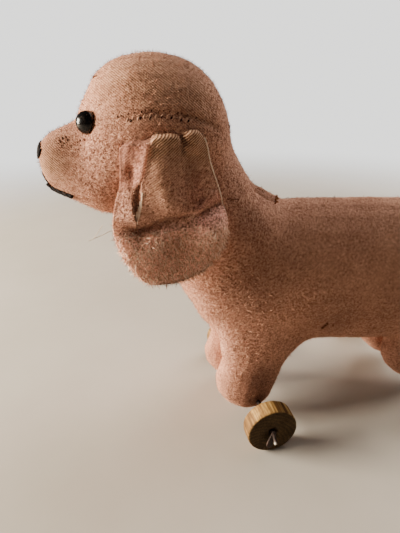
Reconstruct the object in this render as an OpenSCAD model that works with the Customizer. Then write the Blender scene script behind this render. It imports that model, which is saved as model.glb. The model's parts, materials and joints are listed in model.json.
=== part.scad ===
/* [Wheels and axles] */
// Distance between the front and the rear axle
wheelbase = 88; // [80:1:100]
// Diameter of a wooden wheel
wheel_d = 22.5; // [20:0.5:25]
// Thickness of a wheel
wheel_t = 7.5; // [6:0.5:9]
// Distance between the outer faces of a left and a right wheel
track = 75; // [70:1:82]
// Diameter of the iron axle wire
axle_d = 2; // [1.6:0.1:2.4]
// Radial running clearance of a wheel on its axle
axle_clear = 0.06; // [0.03:0.01:0.09]
// Diameter of the worn mouth of a hub on its outer face
hub_mouth_d = 4.2; // [3.8:0.1:5]
// Depth of the worn mouth
hub_mouth_depth = 1.4; // [1:0.1:2]
// Radius of the rounded edges of a wheel
wheel_edge = 0.8; // [0.4:0.1:1.2]
// Side play of a wheel between its stop and its tongue, on each side
wheel_play = 0.4; // [0.3:0.05:0.6]
// Length of the flattened tongue that keeps a wheel on its axle
tongue_l = 6.5; // [5:0.5:8]
// Width of a tongue
tongue_w = 3; // [2.4:0.1:3.6]
// Thickness of a tongue
tongue_t = 0.8; // [0.6:0.1:1]
// How far the other half of the split wire end stands out past the tongue
stub_l = 4; // [3:0.5:5]

/* [Trunk] */
// Length of the stuffed trunk
torso_l = 143; // [132:1:154]
// Height of the trunk
torso_h = 64; // [58:1:68]
// Width of the trunk
torso_w = 48; // [44:1:50]
// How far the chest reaches ahead of the front axle
chest_ahead = 33; // [30:0.5:37]
// Height of the belly above the axles
belly_rise = 28; // [26:0.5:31]

/* [Head and neck] */
// Length of the head from the nose to the back of the skull
head_l = 68; // [64:0.5:74]
// Height of the skull
head_h = 53; // [49:0.5:57]
// Width of the skull
head_w = 49; // [46:0.5:52]
// How far the nose reaches ahead of the front axle
nose_ahead = 81.4; // [78:0.2:85]
// Height of the middle of the skull above the axles
head_rise = 118; // [114:0.5:122]
// Width of the neck
neck_w = 42; // [38:1:45]
// Depth of the neck from throat to back
neck_d = 40; // [36:1:44]

/* [Legs and tail] */
// Distance between the middle lines of a left and a right leg
stance = 22; // [21:0.5:24]
// Thickness of a leg from side to side
leg_w = 19; // [17:0.5:20]
// Length of a foot from toe to heel
foot_l = 28; // [25:0.5:31]
// Length of the tail outside the rump
tail_l = 38; // [30:1:46]
// Thickness of the tail at its root
tail_d = 12; // [10:0.5:14]

/* [Ears] */
// Length of an ear from its sewn edge to its hem
ear_l = 51.5; // [47:0.5:55]
// Greatest width of an ear
ear_w = 38; // [34:0.5:41]
// How far the middle of an ear lies behind the nose
ear_back = 42.5; // [41:0.5:44]
// Height of the sewn edge above the middle of the skull
ear_rise = 6.4; // [5:0.2:8]
// Thickness of each of the two felt layers of an ear
felt_t = 1.2; // [0.9:0.1:1.5]
// Gap between an ear and the head that it hangs against
ear_gap = 0.5; // [0.4:0.1:0.8]
// How far the middle panel of an ear stands proud of its rolled front edge
ear_fold = 2.4; // [1.5:0.1:3]

/* [Face] */
// Diameter of a shoe-button eye
eye_d = 7.5; // [6.5:0.25:8.5]
// Height of the dome of an eye
eye_dome = 3.4; // [2.8:0.1:3.7]
// How deep the rim of an eye is pressed into the felt
eye_press = 0.8; // [0.6:0.1:1.2]
// How far an eye lies behind the nose
eye_back = 17.5; // [17:0.5:19]
// Height of an eye above the middle of the skull
eye_rise = 8; // [6.5:0.5:9]
// Diameter of the wire of an eye shank
shank_d = 0.9; // [0.7:0.1:1.1]
// Width of the embroidered nose
nose_w = 12; // [10:0.5:13]
// Height of the embroidered nose
nose_h = 4.7; // [4.4:0.1:6]
// Thickness of the nose embroidery
nose_t = 0.8; // [0.7:0.1:1.1]
// Thickness of the mouth thread
mouth_t = 1.2; // [0.9:0.1:1.4]

/* [Inner frame] */
// Diameter of the wire that stiffens neck, back and tail
back_wire_d = 2.4; // [2:0.1:3]
// Height of the back wire above the axles
back_wire_rise = 74; // [70:0.5:77]
// Diameter of the wire in each pair of legs
leg_wire_d = 2; // [1.6:0.1:2.4]
// Clearance between a wire and what it passes through
wire_clear = 0.06; // [0.04:0.01:0.1]

/* [Hidden] */
LEFT = -1;
RIGHT = 1;
round_fn = 64;
wire_fn = 32;
trunk_sides = 28;
neck_sides = 26;
leg_sides = 18;
tail_sides = 14;
wire_sides = 8;
felt_colour = "#cf9a84";
thread_colour = "#1c1a1c";
iron_colour = "#5a4438";
wood_colour = "#c9b083";

// Drawing frame: the front axle is x = 0, z = 0, the nose points to -X and +Z is up.
wheel_r = wheel_d / 2;
axle_r = axle_d / 2;
nose_x = -nose_ahead;
chest_x = -chest_ahead;
rump_x = chest_x + torso_l;

// A smooth curve through b and c, with a and d as their neighbours
function ease(a, b, c, d, t) = 0.5 * (2 * b + (c - a) * t
    + (2 * a - 5 * b + 4 * c - d) * t * t + (3 * b - 3 * c + d - a) * t * t * t);
// The row of a table at the running number s, smooth between its rows
function row_at(rows, s) = let (last = len(rows) - 1, i = max(0, min(floor(s), last - 1)))
    ease(rows[max(i - 1, 0)], rows[i], rows[i + 1], rows[min(i + 2, last)], s - i);
// The middle of a clamped ramp from 0 at a to 1 at b
function ramp(a, b, t) = let (k = max(0, min(1, (t - a) / (b - a)))) k * k * (3 - 2 * k);
function bell(middle, width, t) = exp(-pow((t - middle) / width, 2));
function unit(v) = v / norm(v);

// A stuffed form is a table of sections. Each is two points of its outline in the side view,
// the half width between them and how far the widest place lies towards the first point.
function section(x1, z1, x2, z2, half, full) = [x1, z1, x2, z2, half, full];
// A point on a form: s runs along its table, a turns round the section from its first point
function skin(rows, s, a) = let (r = row_at(rows, s), q = cos(a) + r[5] * sin(a) * sin(a))
    [(r[0] + r[2]) / 2 + (r[0] - r[2]) / 2 * q, r[4] * sin(a),
     (r[1] + r[3]) / 2 + (r[1] - r[3]) / 2 * q];
// The direction that the skin of a form faces
function facing(rows, s, a) = unit(cross(skin(rows, s + 0.05, a) - skin(rows, s - 0.05, a),
    skin(rows, s, a + 3) - skin(rows, s, a - 3)));

// A closed solid over a grid of rings, in triangles
module lofted(rings) {
    sides = len(rings[0]);
    last = (len(rings) - 1) * sides;
    points = [for (ring = rings) for (p = ring) p];
    bands = [for (i = [0:len(rings) - 2]) for (j = [0:sides - 1])
        let (a = i * sides + j, b = i * sides + (j + 1) % sides)
        for (f = [[a, b, b + sides], [a, b + sides, a + sides]]) f];
    ends = [for (j = [1:sides - 2]) for (f = [[0, j + 1, j], [last, last + j, last + j + 1]]) f];
    polyhedron(points, concat(bands, ends));
}

module form(rows, sides, steps = 1) {
    lofted([for (i = [0:(len(rows) - 1) * steps]) [for (j = [0:sides - 1])
        skin(rows, i / steps, 360 * j / sides)]]);
}

// A round thread through points, lying on the directions given with them
module thread(points, ups, radius, sides) {
    last = len(points) - 1;
    lofted([for (i = [0:last])
        let (along = unit(points[min(i + 1, last)] - points[max(i - 1, 0)]),
             side = unit(cross(along, ups[i])), up = cross(side, along))
        [for (j = [0:sides - 1])
            points[i] + radius * (cos(360 * j / sides) * up - sin(360 * j / sides) * side)]]);
}

// Moves the drawing so that it stands on the floor, centred along its length
module standing() {
    translate([-(front_end + rear_end) / 2, 0, wheel_r]) children();
}

// Trunk: along, top and bottom as shares of its length and height, half width, fullness
torso_shape = [
    [0.000, 0.55, 0.42, 0.07, 0.0],
    [0.012, 0.65, 0.36, 0.18, 0.0],
    [0.040, 0.74, 0.25, 0.29, 0.0],
    [0.095, 0.88, 0.115, 0.38, -0.05],
    [0.185, 0.97, 0.02, 0.45, -0.1],
    [0.305, 1.01, -0.03, 0.49, -0.15],
    [0.480, 0.99, -0.07, 0.50, -0.2],
    [0.655, 0.97, -0.125, 0.50, -0.22],
    [0.800, 0.94, -0.16, 0.49, -0.22],
    [0.900, 0.89, -0.115, 0.44, -0.2],
    [0.960, 0.80, 0.03, 0.36, -0.1],
    [0.990, 0.69, 0.20, 0.24, 0.0],
    [1.000, 0.58, 0.34, 0.09, 0.0]];
torso_rows = [for (f = torso_shape) section(chest_x + f[0] * torso_l, belly_rise + f[1] * torso_h,
    chest_x + f[0] * torso_l, belly_rise + f[2] * torso_h, f[3] * torso_w, f[4])];

// Head: the same, with heights counted from the middle of the skull
head_shape = [
    [0.000, -0.030, -0.125, 0.050, 0.0],
    [0.010, 0.005, -0.200, 0.115, 0.0],
    [0.036, 0.048, -0.272, 0.172, 0.0],
    [0.085, 0.088, -0.320, 0.225, -0.1],
    [0.155, 0.122, -0.372, 0.280, -0.2],
    [0.215, 0.160, -0.412, 0.325, -0.2],
    [0.253, 0.245, -0.438, 0.355, -0.2],
    [0.298, 0.380, -0.462, 0.390, -0.2],
    [0.368, 0.470, -0.485, 0.435, -0.1],
    [0.460, 0.522, -0.490, 0.480, -0.05],
    [0.565, 0.540, -0.490, 0.500, 0.0],
    [0.680, 0.530, -0.470, 0.500, 0.0],
    [0.790, 0.490, -0.430, 0.470, 0.0],
    [0.880, 0.400, -0.370, 0.400, 0.0],
    [0.950, 0.270, -0.280, 0.300, 0.0],
    [0.988, 0.135, -0.170, 0.180, 0.0],
    [1.000, 0.030, -0.080, 0.070, 0.0]];
head_rows = [for (f = head_shape) section(nose_x + f[0] * head_l, head_rise + f[1] * head_h,
    nose_x + f[0] * head_l, head_rise + f[2] * head_h, f[3] * head_w, f[4])];

// The place on the head's table at x, and the turn round that section at height z
function head_at(x) = let (k = (x - nose_x) / head_l,
    i = max([for (j = [0:len(head_shape) - 2]) if (head_shape[j][0] <= k) j]))
    i + (k - head_shape[i][0]) / (head_shape[i + 1][0] - head_shape[i][0]);
function turn_at(row, z) = let (q = (2 * z - row[1] - row[3]) / (row[1] - row[3]), m = row[5])
    acos(abs(m) < 0.001 ? q : (1 - sqrt(1 - 4 * m * (q - m))) / (2 * m));

// Neck: share of the way from skull to shoulder, back and throat points as shares of its
// depth, half width
skull = [nose_x + 0.62 * head_l, head_rise];
shoulder = [chest_x + 0.26 * torso_l, belly_rise + 0.55 * torso_h];
neck_shape = [
    [0.00, 0.40, 0.20, -0.25, -0.40, 0.36],
    [0.18, 0.39, 0.35, -0.60, -0.30, 0.44],
    [0.36, 0.34, 0.35, -0.625, -0.375, 0.48],
    [0.55, 0.300, 0.345, -0.60, -0.50, 0.50],
    [0.75, 0.335, 0.435, -0.575, -0.60, 0.51],
    [1.00, 0.50, 0.56, -0.50, -0.60, 0.48]];
neck_rows = [for (f = neck_shape) let (c = skull + f[0] * (shoulder - skull))
    section(c[0] + f[1] * neck_d, c[1] + f[2] * neck_d, c[0] + f[3] * neck_d,
        c[1] + f[4] * neck_d, f[5] * neck_w, 0)];

// Legs: heel side and toe side as shares of foot length and belly height, half width
front_leg_shape = [
    [1.10, 1.70, -0.70, 1.90, 0.42],
    [1.06, 1.20, -0.68, 1.40, 0.52],
    [0.84, 0.98, -0.62, 1.00, 0.52],
    [0.62, 0.78, -0.56, 0.78, 0.50],
    [0.49, 0.54, -0.60, 0.60, 0.48],
    [0.385, 0.18, -0.67, 0.40, 0.48],
    [0.32, -0.06, -0.64, 0.16, 0.46],
    [0.20, -0.17, -0.51, -0.04, 0.40],
    [0.06, -0.22, -0.34, -0.165, 0.27],
    [-0.06, -0.23, -0.18, -0.22, 0.07]];
rear_leg_shape = [
    [0.74, 1.90, -0.80, 1.90, 0.42],
    [0.72, 1.30, -0.80, 1.30, 0.52],
    [0.60, 0.86, -0.64, 0.88, 0.52],
    [0.48, 0.60, -0.55, 0.70, 0.50],
    [0.41, 0.42, -0.60, 0.68, 0.48],
    [0.36, 0.18, -0.66, 0.54, 0.48],
    [0.30, -0.04, -0.62, 0.28, 0.46],
    [0.20, -0.16, -0.48, 0.07, 0.40],
    [0.06, -0.20, -0.31, -0.09, 0.27],
    [-0.06, -0.20, -0.17, -0.17, 0.07]];
function leg_rows(shape) = [for (f = shape) section(f[0] * foot_l, f[1] * belly_rise,
    f[2] * foot_l, f[3] * belly_rise, f[4] * leg_w, 0)];

// Back wire and tail share one line, which curves up behind the rear axle
frame_past_axle = 2;
tail_bend = 55;
tail_start_x = wheelbase + frame_past_axle;
tail_root_turn = asin((rump_x - tail_start_x) / tail_bend);
tail_tip_turn = tail_root_turn + tail_l / tail_bend * 180 / PI;
function tail_line(turn) = [tail_start_x + tail_bend * sin(turn),
    back_wire_rise + tail_bend * (1 - cos(turn))];
function around(c, turn, r) = section(c[0] - r * sin(turn), c[1] + r * cos(turn),
    c[0] + r * sin(turn), c[1] - r * cos(turn), r, 0);
// Share of the way from the hidden root to the tip, and share of the root's thickness
tail_shape = [[0.00, 0.42], [0.14, 0.50], [0.30, 0.48], [0.50, 0.42], [0.70, 0.35],
    [0.86, 0.27], [0.95, 0.18], [1.00, 0.06]];
tail_hidden = 0.45;
tail_rows = [for (f = tail_shape)
    let (turn = tail_root_turn * tail_hidden + f[0] * (tail_tip_turn - tail_root_turn * tail_hidden))
    around(tail_line(turn), turn, f[1] * tail_d)];

front_end = nose_x - nose_t;
rear_end = max([for (r = tail_rows) for (x = [r[0], r[2]]) x]);

// Neck bend of the back wire
neck_bend = 18;
neck_turn = atan2(head_rise - back_wire_rise - neck_bend / 2, -skull[0] - neck_bend / 3);
neck_wire_end = (head_rise - back_wire_rise - neck_bend * (1 - cos(neck_turn))) / sin(neck_turn);
bend_step = 15;
function neck_line(turn) = [-frame_past_axle - neck_bend * sin(turn),
    back_wire_rise + neck_bend * (1 - cos(turn))];
function back_wire_rows(r) = concat(
    [around(neck_line(neck_turn) + neck_wire_end * [-cos(neck_turn), sin(neck_turn)],
        -neck_turn, r)],
    [for (k = [1:-0.25:0]) around(neck_line(k * neck_turn), -k * neck_turn, r)],
    [for (k = [0:0.2:0.8]) let (turn = k * tail_tip_turn) around(tail_line(turn), turn, r)]);

module torso_form() form(torso_rows, trunk_sides, 2);
module head_form(grow = 0) {
    form([for (r = head_rows) r + [-grow, grow, -grow, -grow, grow, 0]], trunk_sides, 2);
}
module neck_form() form(neck_rows, neck_sides, 2);
module back_wire_form(grow) form(back_wire_rows(back_wire_d / 2 + grow), wire_sides);
module leg_form(x, side, shape) {
    translate([x, side * stance / 2, 0]) form(leg_rows(shape), leg_sides);
}

// The wire in a pair of legs: an eye round the axle in each foot and a bar under the back wire
leg_wire_bend = 5;
eye_wall = leg_wire_d;
bar_rise = back_wire_rise - back_wire_d / 2 - wire_clear - leg_wire_d / 2;
module leg_wire_shape(x, grow) {
    wire_r = leg_wire_d / 2 + grow;
    eye_r = axle_r + wire_clear + eye_wall;
    for (side = [LEFT, RIGHT]) {
        translate([x, side * stance / 2, 0]) rotate([90, 0, 0])
            cylinder(r = eye_r + grow, h = 2 * (leg_wire_d + grow), center = true, $fn = wire_fn);
        translate([x, side * stance / 2, eye_r - eye_wall / 2])
            cylinder(r = wire_r, h = bar_rise - leg_wire_bend - eye_r + eye_wall / 2, $fn = wire_fn);
        translate([x, side * (stance / 2 - leg_wire_bend), bar_rise - leg_wire_bend])
            rotate([90, 0, 90 * side])
            rotate_extrude(angle = 90, $fn = wire_fn) translate([leg_wire_bend, 0])
            circle(r = wire_r, $fn = wire_fn);
    }
    translate([x, 0, bar_rise]) rotate([90, 0, 0])
        cylinder(r = wire_r, h = stance - 2 * leg_wire_bend, center = true, $fn = wire_fn);
}

module axle_hole(x) {
    translate([x, 0, 0]) rotate([90, 0, 0])
        cylinder(r = axle_r + wire_clear, h = 2 * track, center = true, $fn = wire_fn);
}

module torso() {
    color(felt_colour) standing() difference() {
        torso_form();
        back_wire_form(wire_clear);
        leg_wire_shape(0, wire_clear);
        leg_wire_shape(wheelbase, wire_clear);
    }
}

module neck() {
    color(felt_colour) standing() difference() {
        neck_form();
        torso_form();
        head_form();
        back_wire_form(wire_clear);
    }
}

// Face: the left eye's seat on the head and the way it looks
eye_s = head_at(nose_x + eye_back);
eye_turn = turn_at(row_at(head_rows, eye_s), head_rise + eye_rise);
eye_seat = skin(head_rows, eye_s, eye_turn);
eye_way = facing(head_rows, eye_s, eye_turn);
shank_loop_r = 1.2;
shank_l = 2.2;
thread_r = 0.35;
knot_r = shank_d / 2 + wire_clear + thread_r;

// Puts what stands on z = 0 on the head at an eye, looking outwards
module at_eye(side) {
    mirror([0, side == LEFT ? 1 : 0, 0]) translate(eye_seat)
        rotate([0, acos(eye_way[2]), atan2(eye_way[1], eye_way[0])]) children();
}

module eye_shape() {
    bulge_r = (eye_d * eye_d / 4 + eye_dome * eye_dome) / (2 * eye_dome);
    rim = asin(min(1, eye_d / 2 / bulge_r));
    rotate_extrude($fn = round_fn) polygon(concat([[0, -eye_press]],
        [[eye_d / 2 - eye_press / 2, -eye_press], [eye_d / 2, -eye_press / 2]],
        [for (k = [0:8]) let (a = rim * (1 - k / 8))
            [bulge_r * sin(a), eye_dome - bulge_r * (1 - cos(a))]]));
}

module shank_shape() {
    wire_r = shank_d / 2;
    for (side = [LEFT, RIGHT])
        translate([side * shank_loop_r, 0, -eye_press - shank_l])
        cylinder(r = wire_r, h = shank_l, $fn = wire_fn);
    translate([0, 0, -eye_press - shank_l]) rotate([90, 0, 0]) rotate([0, 0, 180])
        rotate_extrude(angle = 180, $fn = wire_fn) translate([shank_loop_r, 0])
        circle(r = wire_r, $fn = wire_fn);
}

// The lowest point of the left shank loop, where the eye thread is knotted round it
shank_foot = eye_seat - eye_way * (eye_press + shank_l + shank_loop_r);

module eye_thread_shape() {
    translate([shank_foot[0], 0, shank_foot[2]]) rotate([90, 0, 0])
        cylinder(r = thread_r, h = 2 * (shank_foot[1] - knot_r), center = true, $fn = wire_fn);
    for (side = [LEFT, RIGHT]) at_eye(side)
        translate([0, 0, -eye_press - shank_l - shank_loop_r]) rotate([0, 90, 0]) difference() {
            cylinder(r = knot_r + thread_r, h = 2 * thread_r, center = true, $fn = wire_fn);
            cylinder(r = knot_r - thread_r, h = 4 * thread_r, center = true, $fn = wire_fn);
        }
}

module head() {
    color(felt_colour) standing() difference() {
        head_form();
        back_wire_form(wire_clear);
        at_eye(LEFT) eye_shape();
        at_eye(RIGHT) eye_shape();
    }
}

module eye(side) {
    color(thread_colour) standing() at_eye(side) eye_shape();
}

module eye_shank(side) {
    color(iron_colour) standing() at_eye(side) shank_shape();
}

module eye_thread() {
    color(thread_colour) standing() eye_thread_shape();
}

nose_drop = -0.035 * head_h;
nose_depth = 3;
module nose_embroidery() {
    color(thread_colour) standing() difference() {
        intersection() {
            head_form(nose_t);
            translate([front_end - 1, 0, head_rise + nose_drop]) rotate([0, 90, 0])
                scale([nose_h / nose_w, 1, 1])
                cylinder(d = nose_w, h = nose_depth + 1, $fn = round_fn);
        }
        head_form();
    }
}

// The mouth runs from corner to corner under the muzzle, and a stitch joins it to the nose
mouth_front = 1.25;
mouth_corner = 3.9;
mouth_turn = 46;
mouth_spans = 20;
module mouth_embroidery() {
    places = [for (i = [0:mouth_spans]) let (k = 2 * i / mouth_spans - 1)
        [mouth_front + (mouth_corner - mouth_front) * abs(k), 180 + mouth_turn * k]];
    stitch = [for (k = [0:0.25:1]) [0.35 + k * (mouth_front - 0.35), 180]];
    color(thread_colour) standing() {
        thread([for (p = places) skin(head_rows, p[0], p[1])],
            [for (p = places) facing(head_rows, p[0], p[1])], mouth_t / 2, 8);
        thread([for (p = stitch) skin(head_rows, p[0], p[1])],
            [for (p = stitch) facing(head_rows, p[0], p[1])], mouth_t / 4, 8);
    }
}

module tail() {
    color(felt_colour) standing() difference() {
        form(tail_rows, tail_sides);
        torso_form();
        back_wire_form(wire_clear);
    }
}

module front_leg(side) {
    color(felt_colour) standing() difference() {
        leg_form(0, side, front_leg_shape);
        torso_form();
        neck_form();
        axle_hole(0);
        leg_wire_shape(0, wire_clear);
    }
}

module rear_leg(side) {
    color(felt_colour) standing() difference() {
        leg_form(wheelbase, side, rear_leg_shape);
        torso_form();
        axle_hole(wheelbase);
        leg_wire_shape(wheelbase, wire_clear);
    }
}

module back_wire() {
    color(iron_colour) standing() back_wire_form(0);
}

module leg_wire(x) {
    color(iron_colour) standing() difference() {
        leg_wire_shape(x, 0);
        axle_hole(x);
    }
}

// Ears: front edge, back edge, sewn edge and hem, as shares of the ear's width and length
ear_front = [-0.31, -0.43, -0.43, -0.487, -0.525, -0.49, -0.43, -0.26];
ear_rear = [0.24, 0.335, 0.395, 0.45, 0.48, 0.50, 0.43, 0.30];
ear_top = [-0.06, -0.04, -0.02, -0.02, -0.035, 0, 0, -0.01];
ear_hem = [-0.965, -0.99, -1, -1, -0.985, -0.965, -0.94, -0.90];
ear_columns = 12;
ear_lines = 12;
ear_x = nose_x + ear_back;
ear_z = head_rise + ear_rise;
// Half width of the head where the ear is sewn on, and the clear room beside the skull
ear_root_y = skin(head_rows, head_at(ear_x), turn_at(row_at(head_rows, head_at(ear_x)), ear_z))[1];
ear_room = head_w / 2 + ear_gap;
ear_curl = 2.4;
// The crease across an ear, as a share of its length at the front edge, and its rise to the back
crease_front = 0.61;
crease_back = 0.46;
lower_swell = 2.4;

// How far the ear stands out from its plane: the raised panel, its gather, crease and swell
function ear_relief(u, v) = let (crease = crease_front + (crease_back - crease_front) * u)
    ear_fold * ramp(0.18, 0.30, u) * (1 - ramp(crease - 0.12, crease, v))
    - ear_fold / 2 * bell(0.62, 0.07, u) * (1 - ramp(0.02, 0.20, v))
    + lower_swell * ramp(crease, crease + 0.16, v) * (1 - ramp(0.86, 1.0, v) / 2);
// The plane between the two layers of the right ear
function ear_point(u, v) = let (
    x1 = row_at(ear_front, v * (len(ear_front) - 1)), x2 = row_at(ear_rear, v * (len(ear_rear) - 1)),
    z1 = row_at(ear_top, u * (len(ear_top) - 1)), z2 = row_at(ear_hem, u * (len(ear_hem) - 1)),
    from_middle = 2 * (x1 + (x2 - x1) * u),
    lean = (ear_room - ear_root_y - ear_gap) * (1 - ramp(0, 0.25, v)))
    [ear_x + ear_w * (x1 + (x2 - x1) * u),
     ear_room + felt_t - lean - ear_curl * from_middle * from_middle + ear_relief(u, v),
     ear_z + ear_l * (z1 + (z2 - z1) * v)];

// One layer of felt between two depths beside the middle plane
module ear_layer(side, inner, outer) {
    u_steps = [for (i = [0:ear_columns]) i / ear_columns];
    rings = [for (j = [0:ear_lines]) let (v = j / ear_lines) concat(
        [for (u = u_steps) ear_point(u, v) + [0, outer, 0]],
        [for (i = [ear_columns:-1:0]) ear_point(u_steps[i], v) + [0, inner, 0]])];
    mirror([0, side == LEFT ? 1 : 0, 0]) sheet(rings);
}

// A closed solid between two facing sheets, whose rings run out on one sheet and back on the
// other. Both sheets split their squares along the same diagonals, so layers lie flush.
module sheet(rings) {
    sides = len(rings[0]);
    across = sides / 2 - 1;
    last = (len(rings) - 1) * sides;
    points = [for (ring = rings) for (p = ring) p];
    bands = [for (i = [0:len(rings) - 2]) for (j = [0:sides - 1])
        let (a = i * sides + j, b = i * sides + (j + 1) % sides)
        for (f = j <= across ? [[a, b + sides, b], [a, a + sides, b + sides]]
            : [[a, a + sides, b], [b, a + sides, b + sides]]) f];
    rims = [for (j = [0:across - 1]) let (k = sides - 1 - j)
        for (f = [[j, j + 1, k - 1], [j, k - 1, k],
            [last + j, last + k - 1, last + j + 1], [last + j, last + k, last + k - 1]]) f];
    polyhedron(points, concat(bands, rims));
}

module ear_outer(side) {
    color(felt_colour) standing() ear_layer(side, 0, felt_t);
}

module ear_lining(side) {
    color(felt_colour) standing() ear_layer(side, -felt_t, 0);
}

// Outer end of the wheels, where the tongues begin
tongue_y = track / 2 + wheel_play;
stop_y = track / 2 - wheel_t - wheel_play;
stop_t = 1.2;
stop_swell = 1.7;
tongue_swing = 31;
tongue_lean = 20;
stub_droop = 18;
module axle_end() {
    tip_w = tongue_w / 2;
    translate([0, tongue_y, 0]) rotate([0, tongue_swing, 0]) {
        rotate([tongue_lean, 0, 0]) rotate([-90, 0, 0]) linear_extrude(tongue_t)
            polygon(concat([[-axle_r, 0], [-axle_r, -axle_r], [axle_r, -axle_r], [axle_r, 0]],
                [for (a = [0:15:180]) [tip_w * cos(a), tongue_l - tip_w + tip_w * sin(a)]]));
        translate([0, tongue_t / 2, 0]) rotate([-90 - stub_droop, 0, 0])
            cylinder(r = axle_r * 0.7, h = stub_l + tongue_t, $fn = wire_fn);
    }
    translate([0, stop_y - stop_t, 0]) rotate([-90, 0, 0]) linear_extrude(stop_t)
        polygon([for (a = [0:15:345]) [stop_swell * axle_r * cos(a), axle_r * sin(a)]]);
}

module axle(x) {
    color(iron_colour) standing() translate([x, 0, 0]) {
        rotate([90, 0, 0])
            cylinder(r = axle_r, h = 2 * tongue_y + tongue_t, center = true, $fn = wire_fn);
        axle_end();
        mirror([0, 1, 0]) axle_end();
    }
}

// A turned disc with rounded edges, a running bore and a worn mouth on its outer face
module wheel(x, side) {
    hub_r = axle_r + axle_clear;
    edge = [for (a = [0:22.5:90]) a];
    color(wood_colour) standing() translate([x, side * (track / 2 - wheel_t), 0])
        rotate([-90 * side, 0, 0]) rotate_extrude($fn = round_fn) polygon(concat(
            [[hub_r, 0]],
            [for (a = edge) [wheel_r - wheel_edge + wheel_edge * sin(a), wheel_edge * (1 - cos(a))]],
            [for (a = edge) [wheel_r - wheel_edge + wheel_edge * cos(a),
                wheel_t - wheel_edge + wheel_edge * sin(a)]],
            [[hub_mouth_d / 2, wheel_t], [hub_r, wheel_t - hub_mouth_depth]]));
}

torso();
neck();
head();
tail();
front_leg(LEFT);  // front_left_leg
front_leg(RIGHT);  // front_right_leg
rear_leg(LEFT);  // rear_left_leg
rear_leg(RIGHT);  // rear_right_leg
ear_outer(LEFT);  // left_ear_outer
ear_lining(LEFT);  // left_ear_lining
ear_outer(RIGHT);  // right_ear_outer
ear_lining(RIGHT);  // right_ear_lining
eye(LEFT);  // left_eye
eye(RIGHT);  // right_eye
eye_shank(LEFT);  // left_eye_shank
eye_shank(RIGHT);  // right_eye_shank
eye_thread();
nose_embroidery();
mouth_embroidery();
back_wire();
leg_wire(0);  // front_leg_wire
leg_wire(wheelbase);  // rear_leg_wire
axle(0);  // front_axle
axle(wheelbase);  // rear_axle
wheel(0, LEFT);  // front_left_wheel
wheel(0, RIGHT);  // front_right_wheel
wheel(wheelbase, LEFT);  // rear_left_wheel
wheel(wheelbase, RIGHT);  // rear_right_wheel
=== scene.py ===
# %% [markdown]
# This lesson dresses the jointed model of an old stuffed dog on wheels. The model gives every
# size, place and moving body. Here each piece gets the form that sewing, stuffing and years of
# play have given the real one, and the finish of its own material.

# %% Load the model
import json
import math

import bmesh
import bpy
import numpy as np
from mathutils import Matrix, Vector, noise
from mathutils.bvhtree import BVHTree
from mathutils.kdtree import KDTree


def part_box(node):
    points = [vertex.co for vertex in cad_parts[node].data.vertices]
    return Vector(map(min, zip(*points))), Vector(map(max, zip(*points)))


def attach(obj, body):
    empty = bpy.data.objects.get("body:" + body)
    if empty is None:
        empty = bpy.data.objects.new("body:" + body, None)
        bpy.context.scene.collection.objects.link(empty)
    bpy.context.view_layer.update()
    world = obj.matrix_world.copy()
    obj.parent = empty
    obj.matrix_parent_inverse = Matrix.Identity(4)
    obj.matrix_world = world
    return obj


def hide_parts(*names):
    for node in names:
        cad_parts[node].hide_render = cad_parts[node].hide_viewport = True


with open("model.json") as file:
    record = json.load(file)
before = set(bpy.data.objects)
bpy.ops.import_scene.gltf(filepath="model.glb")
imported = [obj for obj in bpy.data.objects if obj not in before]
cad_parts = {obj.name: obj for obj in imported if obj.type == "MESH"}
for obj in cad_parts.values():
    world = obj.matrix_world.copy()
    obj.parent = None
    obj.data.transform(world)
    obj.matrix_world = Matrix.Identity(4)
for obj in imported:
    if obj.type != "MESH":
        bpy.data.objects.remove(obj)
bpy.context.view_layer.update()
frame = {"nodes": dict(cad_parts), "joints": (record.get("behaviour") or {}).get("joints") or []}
MM = 0.001
LEFT, RIGHT = -1, 1
SIDES = {"left": LEFT, "right": RIGHT}

# %% [markdown]
# The camera comes first, because it also tells where things lie. The photograph looks down on
# the toy from its left side, close by, so the near wheel looks big and the lines converge. A
# line of sight through a pixel, followed until it meets the skin, gives the place of a stitch.

# %% Set up the camera
PHOTO_W, PHOTO_H = 400, 533
FOCAL_PX = 400
CAMERA_BEFORE_AXLE = 58.7 * MM
CAMERA_ASIDE = 151.8 * MM
CAMERA_UP = 152 * MM
CAMERA_DIP, CAMERA_TURN = 26, 12.9
SENSOR_W = 36


def new_object(name, data):
    """A new object in the scene."""
    made = bpy.data.objects.new(name, data)
    bpy.context.scene.collection.objects.link(made)
    return made


wheel_low, wheel_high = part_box("front_left_wheel")
axle_height = (wheel_low.z + wheel_high.z) / 2
front_axle_x = (wheel_low.x + wheel_high.x) / 2
rear_axle_x = sum(corner.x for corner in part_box("rear_left_wheel")) / 2

camera = new_object("camera", bpy.data.cameras.new("camera"))
camera.location = (front_axle_x - CAMERA_BEFORE_AXLE, -CAMERA_ASIDE, CAMERA_UP)
camera.rotation_euler = (math.radians(90 - CAMERA_DIP), 0, math.radians(-CAMERA_TURN))
camera.data.sensor_width = SENSOR_W
camera.data.lens = SENSOR_W * FOCAL_PX / PHOTO_H
camera.data.clip_start = 5 * MM
bpy.context.scene.camera = camera
bpy.context.view_layer.update()


def sight_line(px, py):
    """The start and the direction of the line of sight through a pixel of the photograph."""
    ahead = Vector((px - PHOTO_W / 2, PHOTO_H / 2 - py, -FOCAL_PX))
    return camera.location.copy(), (camera.matrix_world.to_3x3() @ ahead).normalized()


print("lens", round(camera.data.lens, 1), "mm")

# %% [markdown]
# Shaders are networks of small nodes. A few helpers keep them short: one makes a node and plugs
# in its inputs, others mix colours, do a sum or read what is painted on the mesh. Colours are
# picked as they look on a screen and turned into the light values that a shader reckons with.

# %% Helpers for shaders
NOT_SHADERS = ("Geometry", "Function", "NodeGroup")


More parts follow.
